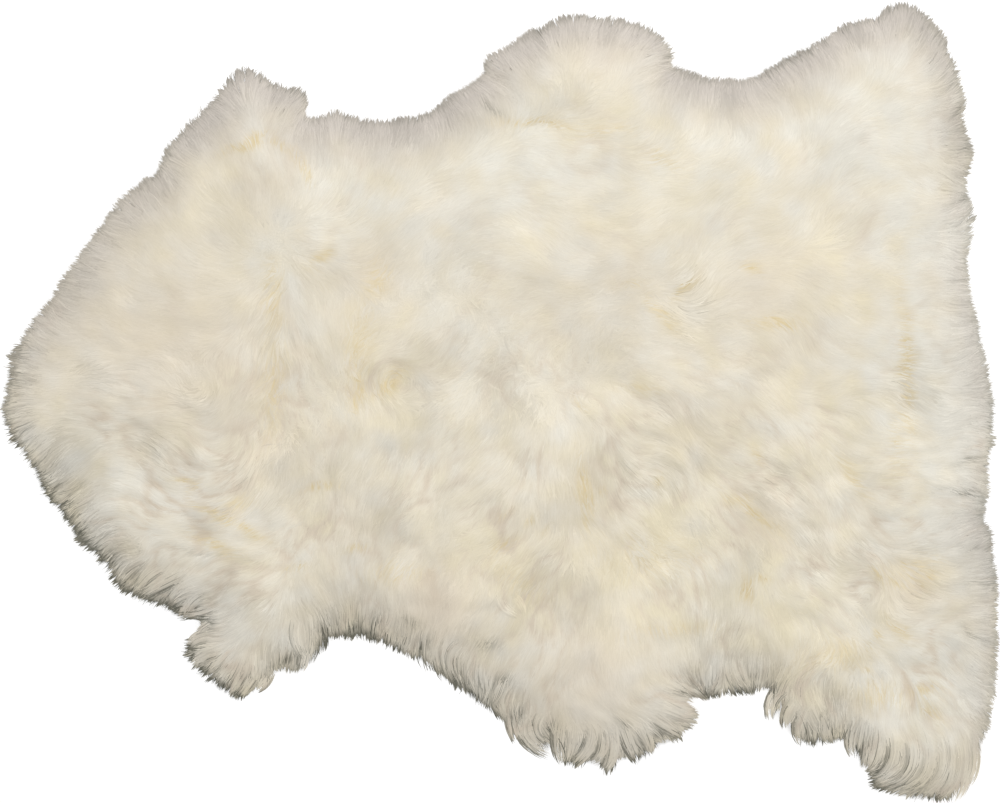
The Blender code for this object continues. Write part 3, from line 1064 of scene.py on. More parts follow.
    def _lock_relief(self, rng: Random) -> tuple[Array, Array]:
        """Return the locks' relief, each lying over the roots of the next like a shingle, and their tone.

        Args:
            rng: the source of their unevenness.

        Returns:
            Two grids, the relief in metres and the tone.
        """
        plan, locks = self.plan, self.grower.locks
        count, nodes, _ = locks.path.shape
        share = np.linspace(0.0, 1.0, 25)
        across = np.linspace(-1.0, 1.0, 13)
        spine = along(locks.path, np.broadcast_to(share * (nodes - 1), (count, len(share))))
        side = left_of(unit(np.gradient(spine, axis=1)))
        half_width = 0.62 * self.grower.lock_spacing * (1.0 - 0.45 * share**2)
        points = spine[:, :, None, :] + side[:, :, None, :] * (half_width[:, None] * across)[None, :, :, None]
        rise = share**0.7 * capped((1.0 - share) / 0.10) ** 0.5
        crown = np.sqrt(capped(1.0 - across**2))
        own = self.lock_height * rng.uniform(0.6, 1.4, count)
        heights = own[:, None, None] * rise[None, :, None] * crown[None, None, :]
        by_point = np.broadcast_to(locks.tone[:, None, None], heights.shape)
        cells = np.rint((points - plan.low) / plan.pitch).astype(int)
        column = np.clip(cells[..., 0].ravel(), 0, plan.shape[1] - 1)
        row = np.clip(cells[..., 1].ravel(), 0, plan.shape[0] - 1)
        order = np.argsort(heights.ravel(), kind="stable")
        relief, tone = np.zeros((2, *plan.shape))
        relief[row[order], column[order]] = heights.ravel()[order]
        tone[row[order], column[order]] = by_point.ravel()[order]
        return plan.soften(relief, self.lock_softness), plan.soften(tone, self.lock_softness)

    def _combed(self, rng: Random, scale: float, length: float) -> Array:
        """Return noise drawn out along the wool's heading, with a spread of 1.

        Args:
            rng: the source of the noise.
            scale: the noise's size across the heading.
            length: how far it is drawn out either way.

        Returns:
            The noise's grid.
        """
        plan = self.plan
        rough = plan.noise(rng, scale)
        total = rough.copy()
        steps = round(length / plan.pitch)
        for way in (1.0, -1.0):
            x, y = plan.x.copy(), plan.y.copy()
            for step in range(steps):
                heading = self.grower.groom.heading_at(x, y)
                x += way * plan.pitch * np.cos(heading)
                y += way * plan.pitch * np.sin(heading)
                total += (1.0 - step / steps) * plan.sample(rough, x, y)
        return (total - total.mean()) / total.std()

    def _marked(self, rng: Random, marks: tuple[Mark, ...]) -> Array:
        """Return how deep the marks' colour is at every grid point.

        Args:
            rng: the source of their ragged edges.
            marks: the marks.

        Returns:
            The deepest mark's depth at each grid point.
        """
        plan = self.plan
        x = plan.x + 0.002 * plan.noise(rng, 0.006)
        y = plan.y + 0.002 * plan.noise(rng, 0.006)
        depth = np.zeros(plan.shape)
        for mark in marks:
            turn = math.radians(mark.turn_deg)
            lengthwise = (x - mark.x) * math.cos(turn) + (y - mark.y) * math.sin(turn)
            crosswise = (y - mark.y) * math.cos(turn) - (x - mark.x) * math.sin(turn)
            reach = (lengthwise / mark.half_length) ** 2 + (crosswise / mark.half_width) ** 2
            depth = np.maximum(depth, mark.depth * np.exp(-reach))
        return depth

    def normal_at(self, x: Array, y: Array) -> Array:
        """Return the bed's upward normal at points in plan, along a new last axis."""
        slope_x, slope_y = (self.plan.sample(slope, x, y) for slope in self.slope)
        return unit(np.stack((-slope_x, -slope_y, np.ones_like(slope_x)), axis=-1))

    def dressing(self, x: Array, y: Array) -> dict[str, Array]:
        """Return the wool's colour masks at points in plan, by the names that the dye reads."""
        labels = ("yolk", "chill", "hollow", "rim")
        return {label: self.plan.sample(getattr(self, label), x, y) for label in labels}


class Level(Enum):
    """The levels of the fleece: dark strands under its edge that are painted shade where they show between
    the locks, the long edge wool and the rest.
    """

    SHADE = "shade"
    EDGE = "fringe"
    BODY = "fleece"


@dataclass(frozen=True)
class Layer:
    """A layer of the fleece: where its strands root, how close they stand, and the shape of each.

    The insets are the least and the greatest distance of its roots from the outline. A strand with a backing
    has a wider dark one under its outer half, painted shade. A layer of fine hairs also has a few dark ones,
    lines of painted shade.
    """

    level: Level
    least_inset: float
    spacing: float
    width: float
    segments: int
    lift: float
    pull: float = 0.0
    roll_deg: float = 30.0
    greatest_inset: float = math.inf
    tone_shift: float = 0.0
    backed: bool = False
    fine: bool = False


@dataclass
class Rows:
    """Arrays that hold a row for each strand."""

    def only(self, chosen: Array) -> Self:
        """Return the chosen strands' rows.

        Args:
            chosen: which strands, as a mask or as indices.

        Returns:
            The same arrays with those rows.
        """
        picked = {}
        for item in fields(self):
            held = getattr(self, item.name)
            if isinstance(held, dict):
                picked[item.name] = {label: values[chosen] for label, values in held.items()}
            else:
                picked[item.name] = held[chosen]
        return replace(self, **picked)


@dataclass
class Dusk(Rows):
    """What paints shade on strands, node by node.

    Near is how much each strand is wool of the near edge, and depth how far in a node lies. Side is the
    painted shade on the side of the edge away from the light, lifted by painted light; band and broad are a
    narrow and a wide band of painted shade along the edge, and the last is the painted shade of the dark gap
    marks.
    """

    near: Array
    depth: Array
    side: Array
    band: Array
    broad: Array
    gaps: Array

    @classmethod
    def over(cls, bed: Bed, near: Array, nodes: Array) -> "Dusk":
        """Return what darkens strands that lie on a bed.

        Args:
            bed: the bed.
            near: how much each strand is wool of the near edge.
            nodes: the strands' nodes, by strand, node and axis.

        Returns:
            The strands' dusk.
        """
        plan = bed.plan
        near = near[:, None]
        x, y = nodes[:, :, 0], nodes[:, :, 1]
        depth = plan.sample(plan.inset, x, y)
        # Painted light takes away part of the painted shade, except right at the outline.
        relit = plan.sample(bed.glow, x, y) * capped((depth - 0.003) / 0.006)
        return cls(
            near=near,
            depth=depth,
            side=plan.sample(bed.gloom, x[:, :1], y[:, :1]) * (1.0 - relit),
            band=capped(1.0 - depth / (0.009 + 0.017 * near)) ** (1.0 + 0.4 * near),
            broad=near * capped(1.4 - depth / 0.028) * np.clip(depth / 0.012, 0.2, 1.0),
            gaps=plan.sample(bed.gaps, x, y),
        )


@dataclass
class Strands(Rows):
    """Grown strands: for each its nodes from root to tip, and what dresses it.

    Its point is the share of its length over which it narrows to its tip.
    """

    nodes: Array
    width: Array
    roll: Array
    softness: Array
    point: Array
    tone: Array
    by_node: dict[str, Array]


@dataclass
class Fleece:
    """The long wool: layers of strands over the bed, drawn into the wisps and locks."""

    bed: Bed
    seed: int = 47
    least_height: float = 0.0010
    root_depth: float = 0.0012
    least_room: float = 0.0030
    least_run: float = 0.0010
    backing_drop: float = 0.0004
    tuft_hair_gap: float = 0.00017
    hair_gather: Gather = Gather(
        sway=0.14, bend=0.40, uneven=0.0013, near_uneven=0.0005, near_pull=0.10, narrowing=0.20
    )
    pieces: tuple[tuple[Level, int], ...] = ((Level.SHADE, 1), (Level.EDGE, 3), (Level.BODY, 3))
    layers: tuple[Layer, ...] = (
        Layer(Level.SHADE, 0.017, spacing=0.0025, width=0.0015, segments=4, lift=0.15, greatest_inset=0.027),
        Layer(
            Level.EDGE, 0.019, spacing=0.0039, width=0.0021, segments=6, lift=0.55, pull=0.65, roll_deg=14.0,
            greatest_inset=0.064, backed=True,
        ),
        Layer(
            Level.EDGE, 0.019, spacing=0.0029, width=0.0009, segments=5, lift=0.95, pull=0.78,
            greatest_inset=0.066, tone_shift=0.8, fine=True,
        ),
        Layer(
            Level.BODY, 0.052, spacing=0.0045, width=0.0030, segments=4, lift=0.45, pull=0.40, roll_deg=14.0
        ),
        Layer(
            Level.BODY, 0.052, spacing=0.0042, width=0.0010, segments=4, lift=0.80, pull=0.45, roll_deg=24.0,
            tone_shift=0.2, fine=True,
        ),
    )

    def grow(self, layer: Layer, rng: Random) -> list[Strands]:
        """Return one layer's strands, and the dark strands of painted shade that back them where it has them.

        Args:
            layer: the layer's sizes.
            rng: the source of its unevenness.

        Returns:
            The strands, and after them their backing.
        """
        bed, grower, plan = self.bed, self.bed.grower, self.bed.plan
        roots = grower.roots(rng, layer.spacing, layer.least_inset, layer.greatest_inset)
        gather = replace(self.hair_gather, pull=layer.pull)
        parents = None if layer.level is Level.SHADE else grower.wisps
        hairs = grower.gathered(rng, roots, parents, grower.wisp_spacing, gather)
        near = grower.groom.near_side(*roots.T)
        overhang = self._overhang(layer, hairs, near, rng)
        path = self._cut_at_outline(hairs.path, overhang, layer.segments)
        nodes = self._raise(path, self._lift(layer, hairs, path, rng))
        dusk = Dusk.over(bed, near, nodes)
        crisp = plan.sample(bed.crisp, *roots.T)
        by_node = bed.dressing(nodes[:, :, 0], nodes[:, :, 1])
        by_node["gloom"] = self._gloom(layer, hairs, dusk, crisp, rng)
        by_node["yolk"] *= rng.normal(0.75, 0.55, len(roots)).clip(0.0, 1.8)[:, None]
        by_node["chill"] += 0.15 * hairs.tone[:, None]
        # Less of the rim's ash, and so of its painted shade, just inside the near edge's tips.
        by_node["rim"] *= 1.0 - 0.8 * dusk.near * capped(1.5 - np.abs(dusk.depth - 0.007) / 0.006)
        at_tip = dusk.depth[:, -1]
        edge = capped(1.0 - at_tip / 0.040)
        strength = np.maximum(crisp, edge)
        # Random tone, darker towards the borders of each wisp and lock: painted shade there.
        own_tone = (1.2 + 1.5 * near) * hairs.tone - 0.9 * hairs.border - 0.7 * hairs.outer_border + 0.8
        strands = Strands(
            nodes=nodes,
            width=layer.width * rng.uniform(0.65, 1.25, len(roots)),
            roll=strength * rng.normal(0.0, math.radians(layer.roll_deg), len(roots)).clip(-1.1, 1.1),
            softness=0.94 - 0.30 * edge,
            point=np.where(at_tip < 0.010, rng.uniform(0.17, 0.30, len(roots)), 0.45),
            tone=layer.tone_shift + strength * own_tone + plan.sample(bed.mottle, *roots.T),
            by_node=by_node,
        )
        kept = self._untangled(path)
        grown = [strands.only(kept)]
        if layer.backed:
            grown.append(self._backing(grown[0], dusk.only(kept), rng))
        return grown

    @staticmethod
    def _overhang(layer: Layer, hairs: Growth, near: Array, rng: Random) -> Array:
        """Return how far past the outline each strand of a layer may reach.

        Args:
            layer: the layer's sizes.
            hairs: its growth in plan.
            near: how much each strand is wool of the near edge.
            rng: the source of their unevenness.

        Returns:
            The overhangs, below 0 where a strand ends inside the outline.
        """
        if layer.level is Level.SHADE:
            return (rng.normal(0.0, 0.0020, len(near)) - 0.0010 * near).clip(-0.014, 0.003)
        held = 0.0025 if layer.backed else 0.0
        even = 0.65 + 0.35 * near
        return (even * hairs.reach + 0.0062 + 0.0018 * near - held).clip(-0.018, 0.010)

    def _lift(self, layer: Layer, hairs: Growth, path: Array, rng: Random) -> Array:
        """Return each strand's share of the clearance above the underwool: the most over the edge.

        Args:
            layer: the layer's sizes.
            hairs: its growth in plan.
            path: the strands' nodes in plan.
            rng: the source of their unevenness.

        Returns:
            The lifts.
        """
        at_tip = self.bed.plan.sample(self.bed.plan.inset, *path[:, -1].T)
        by_place = np.where(at_tip < 0.012, 1.35, 0.45 + 0.55 * capped((at_tip - 0.012) / 0.045))
        own = hairs.lift * rng.uniform(0.6, 1.3, len(path)) * (1.0 - 0.45 * hairs.border)
        return by_place * layer.lift * own

    @staticmethod
    def _gloom(layer: Layer, hairs: Growth, dusk: Dusk, crisp: Array, rng: Random) -> Array:
        """Return the painted shade along each strand: at its tip, in bands along the edge, towards the
        borders of its wisp and lock, on a few dark hairs, and in the dark gap marks.

        Args:
            layer: the layer's sizes.
            hairs: its growth in plan.
            dusk: where it gets painted shade.
            crisp: how much its hairs stand apart.
            rng: the source of their unevenness.

        Returns:
            The painted shade by strand and node.
        """
        # The dark strands under the edge are painted shade, darkest at the outline.
        if layer.level is Level.SHADE:
            return dusk.side * (0.35 + 0.65 * capped(1.2 - dusk.depth / 0.014))
        count = len(crisp)
        tips = np.clip(1.0 - dusk.depth / (0.003 + 0.001 * dusk.near), 0.0, 1.2) ** 1.5
        own = 0.5 * capped(hairs.border - 0.5) + 0.3 * capped(hairs.outer_border - 0.5)
        own = own + rng.normal(0.0, 0.10, count)
        dark, streak = np.zeros((2, count))
        if not layer.backed:
            own += (rng.random(count) < 0.22 - 0.05 * dusk.near[:, 0]) * rng.uniform(0.8, 2.0, count)
            streak = (rng.random(count) < 0.20) * rng.uniform(0.15, 0.60, count)
            dark = crisp * rng.normal(-0.02, 0.13, count).clip(0.0, 0.40) * layer.fine
        split = np.where(rng.random(count) < 0.55, rng.uniform(0.7, 1.2, count), rng.uniform(0.0, 0.2, count))
        split *= 0.5 if layer.backed else 1.0
        edge = np.clip((0.40 + 0.32 * dusk.near) * tips + own[:, None] * dusk.band, 0.0, DARKEST)
        gloom = dusk.side * edge + dark[:, None] + streak[:, None] * dusk.broad
        return np.clip(gloom + dusk.gaps * split[:, None], 0.0, DARKEST)

    def _backing(self, strands: Strands, dusk: Dusk, rng: Random) -> Strands:
        """Return the wider dark strands, painted shade, that lie under the outer half of each strand.

        Args:
            strands: the strands that they back.
            dusk: where they get painted shade.
            rng: the source of their unevenness.

        Returns:
            The dark strands.
        """
        count, per_strand, _ = strands.nodes.shape
        outer = (per_strand - 1) // 2 - 1
        shade = 1.10 * dusk.side[:, outer:] * rng.normal(0.60, 0.50, count).clip(0.0, 1.2)[:, None]
        shade = shade * dusk.band[:, outer:] ** 1.6
        shade = shade + dusk.gaps[:, outer:] * rng.uniform(0.4, 1.0, count)[:, None]
        swell = np.minimum(2.0 * np.linspace(0.0, 1.0, per_strand - outer), 1.0)
        by_node = {label: values[:, outer:] for label, values in strands.by_node.items()}
        by_node["gloom"] = np.clip(shade, 0.0, DARKEST) * swell
        lowered = strands.nodes[:, outer:] - np.array([0.0, 0.0, self.backing_drop])
        return replace(strands, nodes=lowered, width=1.6 * strands.width, by_node=by_node)

    def draw(self, tuft: Tuft, rng: Random) -> Strands:
        """Return the strands of one lock that lies by itself, with painted shade on its side away from the
        light and at its tips.

        Args:
            tuft: where the lock lies and how it looks.
            rng: the source of its unevenness.

        Returns:
            The strands.
        """
        count = round(tuft.width / self.tuft_hair_gap)
        # A fifth of the strands lie on the side away from the light and are dark: painted shade under the
        # lock.
        under = rng.random(count) < 0.20
        start = rng.uniform(0.0, 0.35, count)
        end = rng.uniform(0.72, 1.04, count)
        at = start[:, None] + (end - start)[:, None] * np.linspace(0.0, 1.0, 7)
        spine, side = self._spine(tuft, at)
        away = np.sign(side[:, 3, 0] * LIGHT_LEE[0] + side[:, 3, 1] * LIGHT_LEE[1])
        across = np.where(under, away * rng.uniform(0.75, 1.35, count), rng.uniform(-1.1, 1.1, count))
        sway = 0.12 * rng.normal(0.0, 1.0, count)[:, None] * np.sin(math.pi * at)
        splay = 0.35 * rng.normal(0.0, 1.0, count)[:, None] * capped(at - 0.55)
        offset = (across[:, None] + sway + splay) * 0.5 * tuft.width * (1.0 - 0.32 * at**2)
        path = spine + side * offset[..., None]
        lift = np.where(under, 1.35, 2.0 - 0.6 * np.abs(across)) * rng.uniform(0.85, 1.15, count)
        nodes = self._raise(path, lift)
        thin = rng.random(count) < 0.55
        shaded = min(1.0, 2.5 * tuft.shade)
        # Painted shade: dark lines between the thin hairs, the side away from the light, and the tips.
        lines = (rng.random(count) < 0.30) * thin * rng.uniform(0.30, 0.90, count) * shaded
        leeward = 0.45 * capped(away * across) ** 2
        dark = tuft.shade * np.where(under, rng.uniform(0.5, 1.0, count), leeward) + lines
        tips = shaded * rng.uniform(0.1, 0.8, count)[:, None] * capped((at - 0.72) / 0.28) ** 1.5
        by_node = self.bed.dressing(nodes[:, :, 0], nodes[:, :, 1])
        by_node["gloom"] = np.clip(dark[:, None] * np.minimum(0.25 + 1.5 * at, 1.0) + tips, 0.0, DARKEST)
        return Strands(
            nodes=nodes,
            width=np.where(thin, 0.0007, 0.0014) * rng.uniform(0.75, 1.2, count),
            roll=rng.normal(0.0, 0.35, count).clip(-0.9, 0.9),
            softness=np.full(count, 0.66),
            point=rng.uniform(0.20, 0.40, count),
            tone=tuft.pale + rng.normal(0.5, 1.1, count) + thin * 0.4,
            by_node=by_node,
        )

    @staticmethod
    def _spine(tuft: Tuft, at: Array) -> tuple[Array, Array]:
        """Return places along a tuft's middle line, and the way to the line's left there.

        Args:
            tuft: where the lock lies.
            at: the places as shares of the line, by strand and node.

        Returns:
            The places and the unit vectors, by strand, node and axis.
        """
        at = at[..., None]
        control = 2.0 * tuft.bend - 0.5 * (tuft.root + tuft.tip)
        spine = (1.0 - at) ** 2 * tuft.root + 2.0 * at * (1.0 - at) * control + at**2 * tuft.tip
        ahead = unit((1.0 - at) * (control - tuft.root) + at * (tuft.tip - control))
        return spine, left_of(ahead)

    def _untangled(self, path: Array) -> Array:
        """Return which paths neither turn back on themselves nor are cut to a stub.

        Args:
            path: nodes by strand, node and axis, in plan.

        Returns:
            A mask over the strands.
        """
        runs = np.diff(path, axis=1)
        length = np.linalg.norm(runs, axis=2)
        product = np.sum(runs[:, 1:] * runs[:, :-1], axis=2)
        straight = product / np.maximum(length[:, 1:] * length[:, :-1], TINY)
        return (length > self.least_run).all(axis=1) & (straight > 0.35).all(axis=1)

    def _cut_at_outline(self, path: Array, overhang: Array, segments: int) -> Array:
        """Return the paths ended where they pass the outline by their overhang, with even nodes.

        Args:
            path: points by strand, step and axis.
            overhang: how far past the outline each may reach.
            segments: how many stretches each strand keeps.

        Returns:
            Nodes by strand, node and axis.
        """
        plan = self.bed.plan
        inset = plan.sample(plan.inset + self.bed.trim, path[:, :, 0], path[:, :, 1]) + overhang[:, None]
        past = inset < 0.0
        first = np.maximum(np.where(past.any(axis=1), past.argmax(axis=1), path.shape[1] - 1), 1)
        row = np.arange(len(path))
        before = inset[row, first - 1]
        after = inset[row, first]
        share = np.where(past.any(axis=1), before / np.maximum(before - after, 1e-9), 1.0)
        end = first - 1 + np.clip(share, 0.05, 1.0)
        return along(path, end[:, None] * np.linspace(0.0, 1.0, segments + 1)[None, :])

    def _raise(self, path: Array, lift: Array) -> Array:
        """Return the paths raised off the plan: rooted in the underwool, their tips above it.

        Args:
            path: nodes by strand, node and axis, in plan.
            lift: each strand's share of the clearance above the underwool.

        Returns:
            The nodes with their heights.
        """
        plan = self.bed.plan
        x, y = path[:, :, 0], path[:, :, 1]
        bed = plan.sample(self.bed.height, x, y)
        share = np.linspace(0.0, 1.0, path.shape[1])
        rise = np.sin(0.5 * math.pi * share**0.8)
        room = np.maximum(plan.sample(plan.top, x, y) - bed, self.least_room)
        height = bed - self.root_depth * (1.0 - share) ** 3 + room * lift[:, None] * rise
        return np.stack((x, y, np.maximum(height, self.least_height)), axis=-1)

    def build(self) -> list[bpy.types.Object]:
        """Return the fleece's pieces, each a mesh of ribbon strands, side by side along X within a level."""
        rng = np.random.default_rng(self.seed)
        grown: dict[Level, list[Strands]] = {level: [] for level in Level}
        for layer in self.layers:
            grown[layer.level] += self.grow(layer, rng)
        grown[Level.EDGE] += [self.draw(tuft, rng) for tuft in TUFTS]
        built = []
        for level, count in self.pieces:
            roots = [strands.nodes[:, 0, 0] for strands in grown[level]]
            bounds = np.quantile(np.concatenate(roots), np.linspace(0.0, 1.0, count + 1))
            bounds[-1] = math.inf
            for number, (least, greatest) in enumerate(zip(bounds, bounds[1:]), start=1):
                ribbons = [
                    Ribbons.of(strands.only((x >= least) & (x < greatest)), self.bed)
                    for strands, x in zip(grown[level], roots)
                ]
                piece = Ribbons.joined(ribbons).to_object(f"{level.value}_{number}")
                if level is not Level.SHADE:
                    piece.visible_shadow = False
                    piece.visible_diffuse = False
                built.append(piece)
        return built


@dataclass
class Ribbons:
    """The mesh arrays of many ribbons: points, normals, faces and the values that colour them."""

    points: Array
    normals: Array
    corners: Array
    sizes: Array
    owner: Array
    values: dict[str, Array]

    @classmethod
    def of(cls, strands: Strands, bed: Bed) -> "Ribbons":
        """Return the strands as tapered ribbons that end in a point.

        Args:
            strands: a layer's strands.
            bed: the bed that they lie on.

        Returns:
            The ribbons.
        """
        nodes = strands.nodes
        count, per_strand, _ = nodes.shape
        segments = per_strand - 1
        share = np.linspace(0.0, 1.0, per_strand)
        tangent = unit(np.gradient(nodes, axis=1))
        bed_normal = bed.normal_at(nodes[:, :, 0], nodes[:, :, 1])
        side = unit(np.cross(tangent, bed_normal))
        upward = unit(np.cross(side, tangent))
        roll = strands.roll[:, None, None]
        turned = side * np.cos(roll) + upward * np.sin(roll)
        facing = upward * np.cos(roll) - side * np.sin(roll)
        taper = np.minimum(1.0, (1.0 - share) / strands.point[:, None]) ** 0.8
        taper = taper * (0.20 + 0.80 * np.minimum(share * 3.0, 1.0))
        half = 0.5 * (strands.width[:, None] * taper)[:, :, None]
        softness = strands.softness[:, None, None]
        soft = unit(softness * bed_normal + (1.0 - softness) * facing)
        lean = 0.9 * (1.0 - softness) * turned
        pairs = np.stack((nodes - turned * half, nodes + turned * half), axis=2)[:, :-1]
        normal_pairs = np.stack((unit(soft - lean), unit(soft + lean)), axis=2)[:, :-1]
        quads = np.array([[2 * k, 2 * k + 1, 2 * k + 3, 2 * k + 2] for k in range(segments - 1)]).ravel()
        pattern = np.concatenate((quads, [2 * segments - 2, 2 * segments - 1, 2 * segments]))
        per_ribbon = 2 * segments + 1
        values = {
            "tone": np.repeat(strands.tone, per_ribbon),
            "across": np.tile(np.array([-1.0, 1.0] * segments + [0.0]), count),
            "along": np.tile(np.append(np.repeat(share[:-1], 2), 1.0), count),
        }
        for label, by_node in strands.by_node.items():
            doubled = np.repeat(by_node[:, :-1], 2, axis=1)
            values[label] = np.concatenate((doubled, by_node[:, -1:]), axis=1).ravel()
        body = pairs.reshape(count, 2 * segments, 3)
        body_normals = normal_pairs.reshape(count, 2 * segments, 3)
        return cls(
            points=np.concatenate((body, nodes[:, -1:]), axis=1).reshape(-1, 3),
            normals=np.concatenate((body_normals, soft[:, -1:]), axis=1).reshape(-1, 3),
            corners=(np.arange(count)[:, None] * per_ribbon + pattern[None, :]).ravel(),
            sizes=np.tile(np.array([4] * (segments - 1) + [3]), count),
            owner=np.repeat(np.arange(count), per_ribbon),
            values=values,
        )

    @classmethod
    def joined(cls, parts: list["Ribbons"]) -> "Ribbons":
        """Return several sets of ribbons as one.

        Args:
            parts: the sets.

        Returns:
            The ribbons of all, in the sets' order.
        """
        first_point = np.cumsum([0] + [len(part.points) for part in parts[:-1]])
        first_ribbon = np.cumsum([0] + [len(np.unique(part.owner)) for part in parts[:-1]])
        labels = parts[0].values
        return cls(
            points=np.concatenate([part.points for part in parts]),
            normals=np.concatenate([part.normals for part in parts]),
            corners=np.concatenate([part.corners + start for part, start in zip(parts, first_point)]),
            sizes=np.concatenate([part.sizes for part in parts]),
            owner=np.concatenate([part.owner + start for part, start in zip(parts, first_ribbon)]),
            values={label: np.concatenate([part.values[label] for part in parts]) for label in labels},
        )

    def to_object(self, name: str) -> bpy.types.Object:
        """Return the ribbons as a mesh object in the scene.

        Args:
            name: the object's name.

        Returns:
            The object.
        """
        mesh = bpy.data.meshes.new(name)
        mesh.vertices.add(len(self.points))
        mesh.vertices.foreach_set("co", self.points.astype(np.float32).ravel())
        mesh.loops.add(len(self.corners))
        mesh.loops.foreach_set("vertex_index", self.corners.astype(np.int32))
        mesh.polygons.add(len(self.sizes))
        starts = np.concatenate(([0], np.cumsum(self.sizes)[:-1]))
        mesh.polygons.foreach_set("loop_start", starts.astype(np.int32))
        mesh.update(calc_edges=True)
        mesh.shade_smooth()
        dress(mesh, self.values)
        cells = mesh.uv_layers.new(name="OFBake")
        cells.uv.foreach_set("vector", self._cells()[self.corners].astype(np.float32).ravel())
        free_normals = mesh.attributes.new("custom_normal", "FLOAT_VECTOR", "POINT")
        free_normals.data.foreach_set("vector", self.normals.astype(np.float32).ravel())
        return shown(name, mesh)

    def _cells(self) -> Array:
        """Return each point's place on a map that gives every ribbon a cell of its own."""
        ribbons = int(self.owner.max()) + 1
        columns = math.ceil(math.sqrt(2.0 * ribbons))
        rows = math.ceil(ribbons / columns)
        u = (self.owner % columns + 0.5 + 0.44 * self.values["across"]) / columns
        v = (self.owner // columns + 0.06 + 0.88 * self.values["along"]) / rows
        return np.stack((u, v), axis=1)


@dataclass
class Underwool:
    """The dense short wool below the locks: a closed body whose top is the groom's bed."""

    bed: Bed
    edge_inset: float = 0.018
    edge_step: float = 0.003
    pitch: float = 0.0040
    sink: float = 0.0006
    shoulder: float = 0.012
    base: float = 0.0022
    rim_height: float = 0.001

    def build(self) -> bpy.types.Object:
        """Return the underwool's closed mesh."""
        plan = self.bed.plan
        line = plan.level_line(self.edge_inset, self.edge_step)
        points, faces = plan.sheet(line, self.edge_inset, self.pitch)
        places = np.array(points)
        depth = plan.sample(plan.inset, *places.T) - self.edge_inset
        rounding = np.sin(0.5 * math.pi * capped(depth / self.shoulder)) ** 0.6
        bed = plan.sample(self.bed.height, *places.T) - self.sink
        height = self.base + self.rim_height + np.maximum(bed - self.base - self.rim_height, 0.0) * rounding
        body = bmesh.new()
        verts = [body.verts.new((x, y, z)) for (x, y), z in zip(places, height)]
        for face in faces:
            body.faces.new([verts[index] for index in face])
        rim = [edge for edge in body.edges if edge.is_boundary]
        dropped = bmesh.ops.extrude_edge_only(body, edges=rim)["geom"]
        for vert in dropped:
            if isinstance(vert, bmesh.types.BMVert):
                vert.co.z = self.base
        bottom = [edge for edge in dropped if isinstance(edge, bmesh.types.BMEdge) and edge.is_boundary]
        bmesh.ops.holes_fill(body, edges=bottom, sides=0)
        bmesh.ops.recalc_face_normals(body, faces=body.faces)
        mesh = bpy.data.meshes.new("underwool")
        body.to_mesh(mesh)
        body.free()
        mesh.shade_smooth()
        dress(mesh, self._values(mesh))
        return shown("underwool", mesh)

    def _values(self, mesh: bpy.types.Mesh) -> dict[str, Array]:
        """Return the values that colour the underwool's points.

        Args:
            mesh: the underwool's mesh.

        Returns:
            The values, by the names that the dye reads.
        """
        plan, bed = self.bed.plan, self.bed
        co = np.empty(len(mesh.vertices) * 3, np.float32)
        mesh.vertices.foreach_get("co", co)
        x, y, _ = co.reshape(-1, 3).T
        edge = capped(1.4 - plan.sample(plan.inset, x, y) / 0.022)
        return {
            **bed.dressing(x, y),
            "tone": 0.8 * plan.sample(bed.tone, x, y) + plan.sample(bed.mottle, x, y),
            # Painted shade on the underwool's rim, where it shows under the edge wool, less where painted
            # light lifts it.
            "gloom": plan.sample(bed.gloom * (1.0 - bed.glow), x, y) * edge,
        }


@dataclass
class Hide:
    """The tanned skin under the wool: a thin sheet of leather inside the wool's outline.

    Its flat sides and its area are known once it is built.
    """

    plan: Plan
    edge_inset: float = 0.020
    edge_step: float = 0.004
    thickness: float = 0.002
    pitch: float = 0.014
    area: float = field(init=False, default=0.0)
    flat: tuple[float, float] = field(init=False, default=(0.0, 0.0))

    def build(self) -> bpy.types.Object:
        """Return the leather sheet, its underside at the height of the floor."""
        line = self.plan.level_line(self.edge_inset, self.edge_step)
        self.area = 0.5 * abs(twice_area(line))
        self.flat = tuple(float(side) for side in line.max(axis=0) - line.min(axis=0))
        points, faces = self.plan.sheet(line, self.edge_inset, self.pitch)
        mesh = bpy.data.meshes.new("hide")
        mesh.from_pydata([(x, y, self.thickness) for x, y in points], [], faces)
        mesh.update()
        piece = shown("hide", mesh)
        bpy.ops.object.select_all(action="DESELECT")
        bpy.context.view_layer.objects.active = piece
        piece.select_set(True)
        solidify = piece.modifiers.new("leather", "SOLIDIFY")
        solidify.thickness = self.thickness
        solidify.offset = -1.0
        bpy.ops.object.modifier_apply(modifier=solidify.name)
        return piece


Socket = bpy.types.NodeSocket
Node = bpy.types.Node
Tree = bpy.types.NodeTree
Colour = tuple[float, float, float]

FLOAT = "NodeSocketFloat"
COLOUR = "NodeSocketColor"
VECTOR = "NodeSocketVector"

# The dye's inputs that say where its colours lie, and the mesh values that feed them.
# The rim's mask is partly and the darkening mask wholly painted shade.
MASKS = {label.capitalize(): label for label in ("tone", "chill", "hollow", "rim", "gloom")}
MASKS["Yolk depth"] = "yolk"


def feed(tree: Tree, fed: Node, inputs: dict[str | int, object]) -> None:
    """Give a node its inputs.

    Args:
        tree: the node's tree.
        fed: the node.
        inputs: by the input's name or number, the socket that feeds it or the value that it holds.
    """
    for label, given in inputs.items():
        if isinstance(given, Socket):
            tree.links.new(given, fed.inputs[label])
        else:
            fed.inputs[label].default_value = given


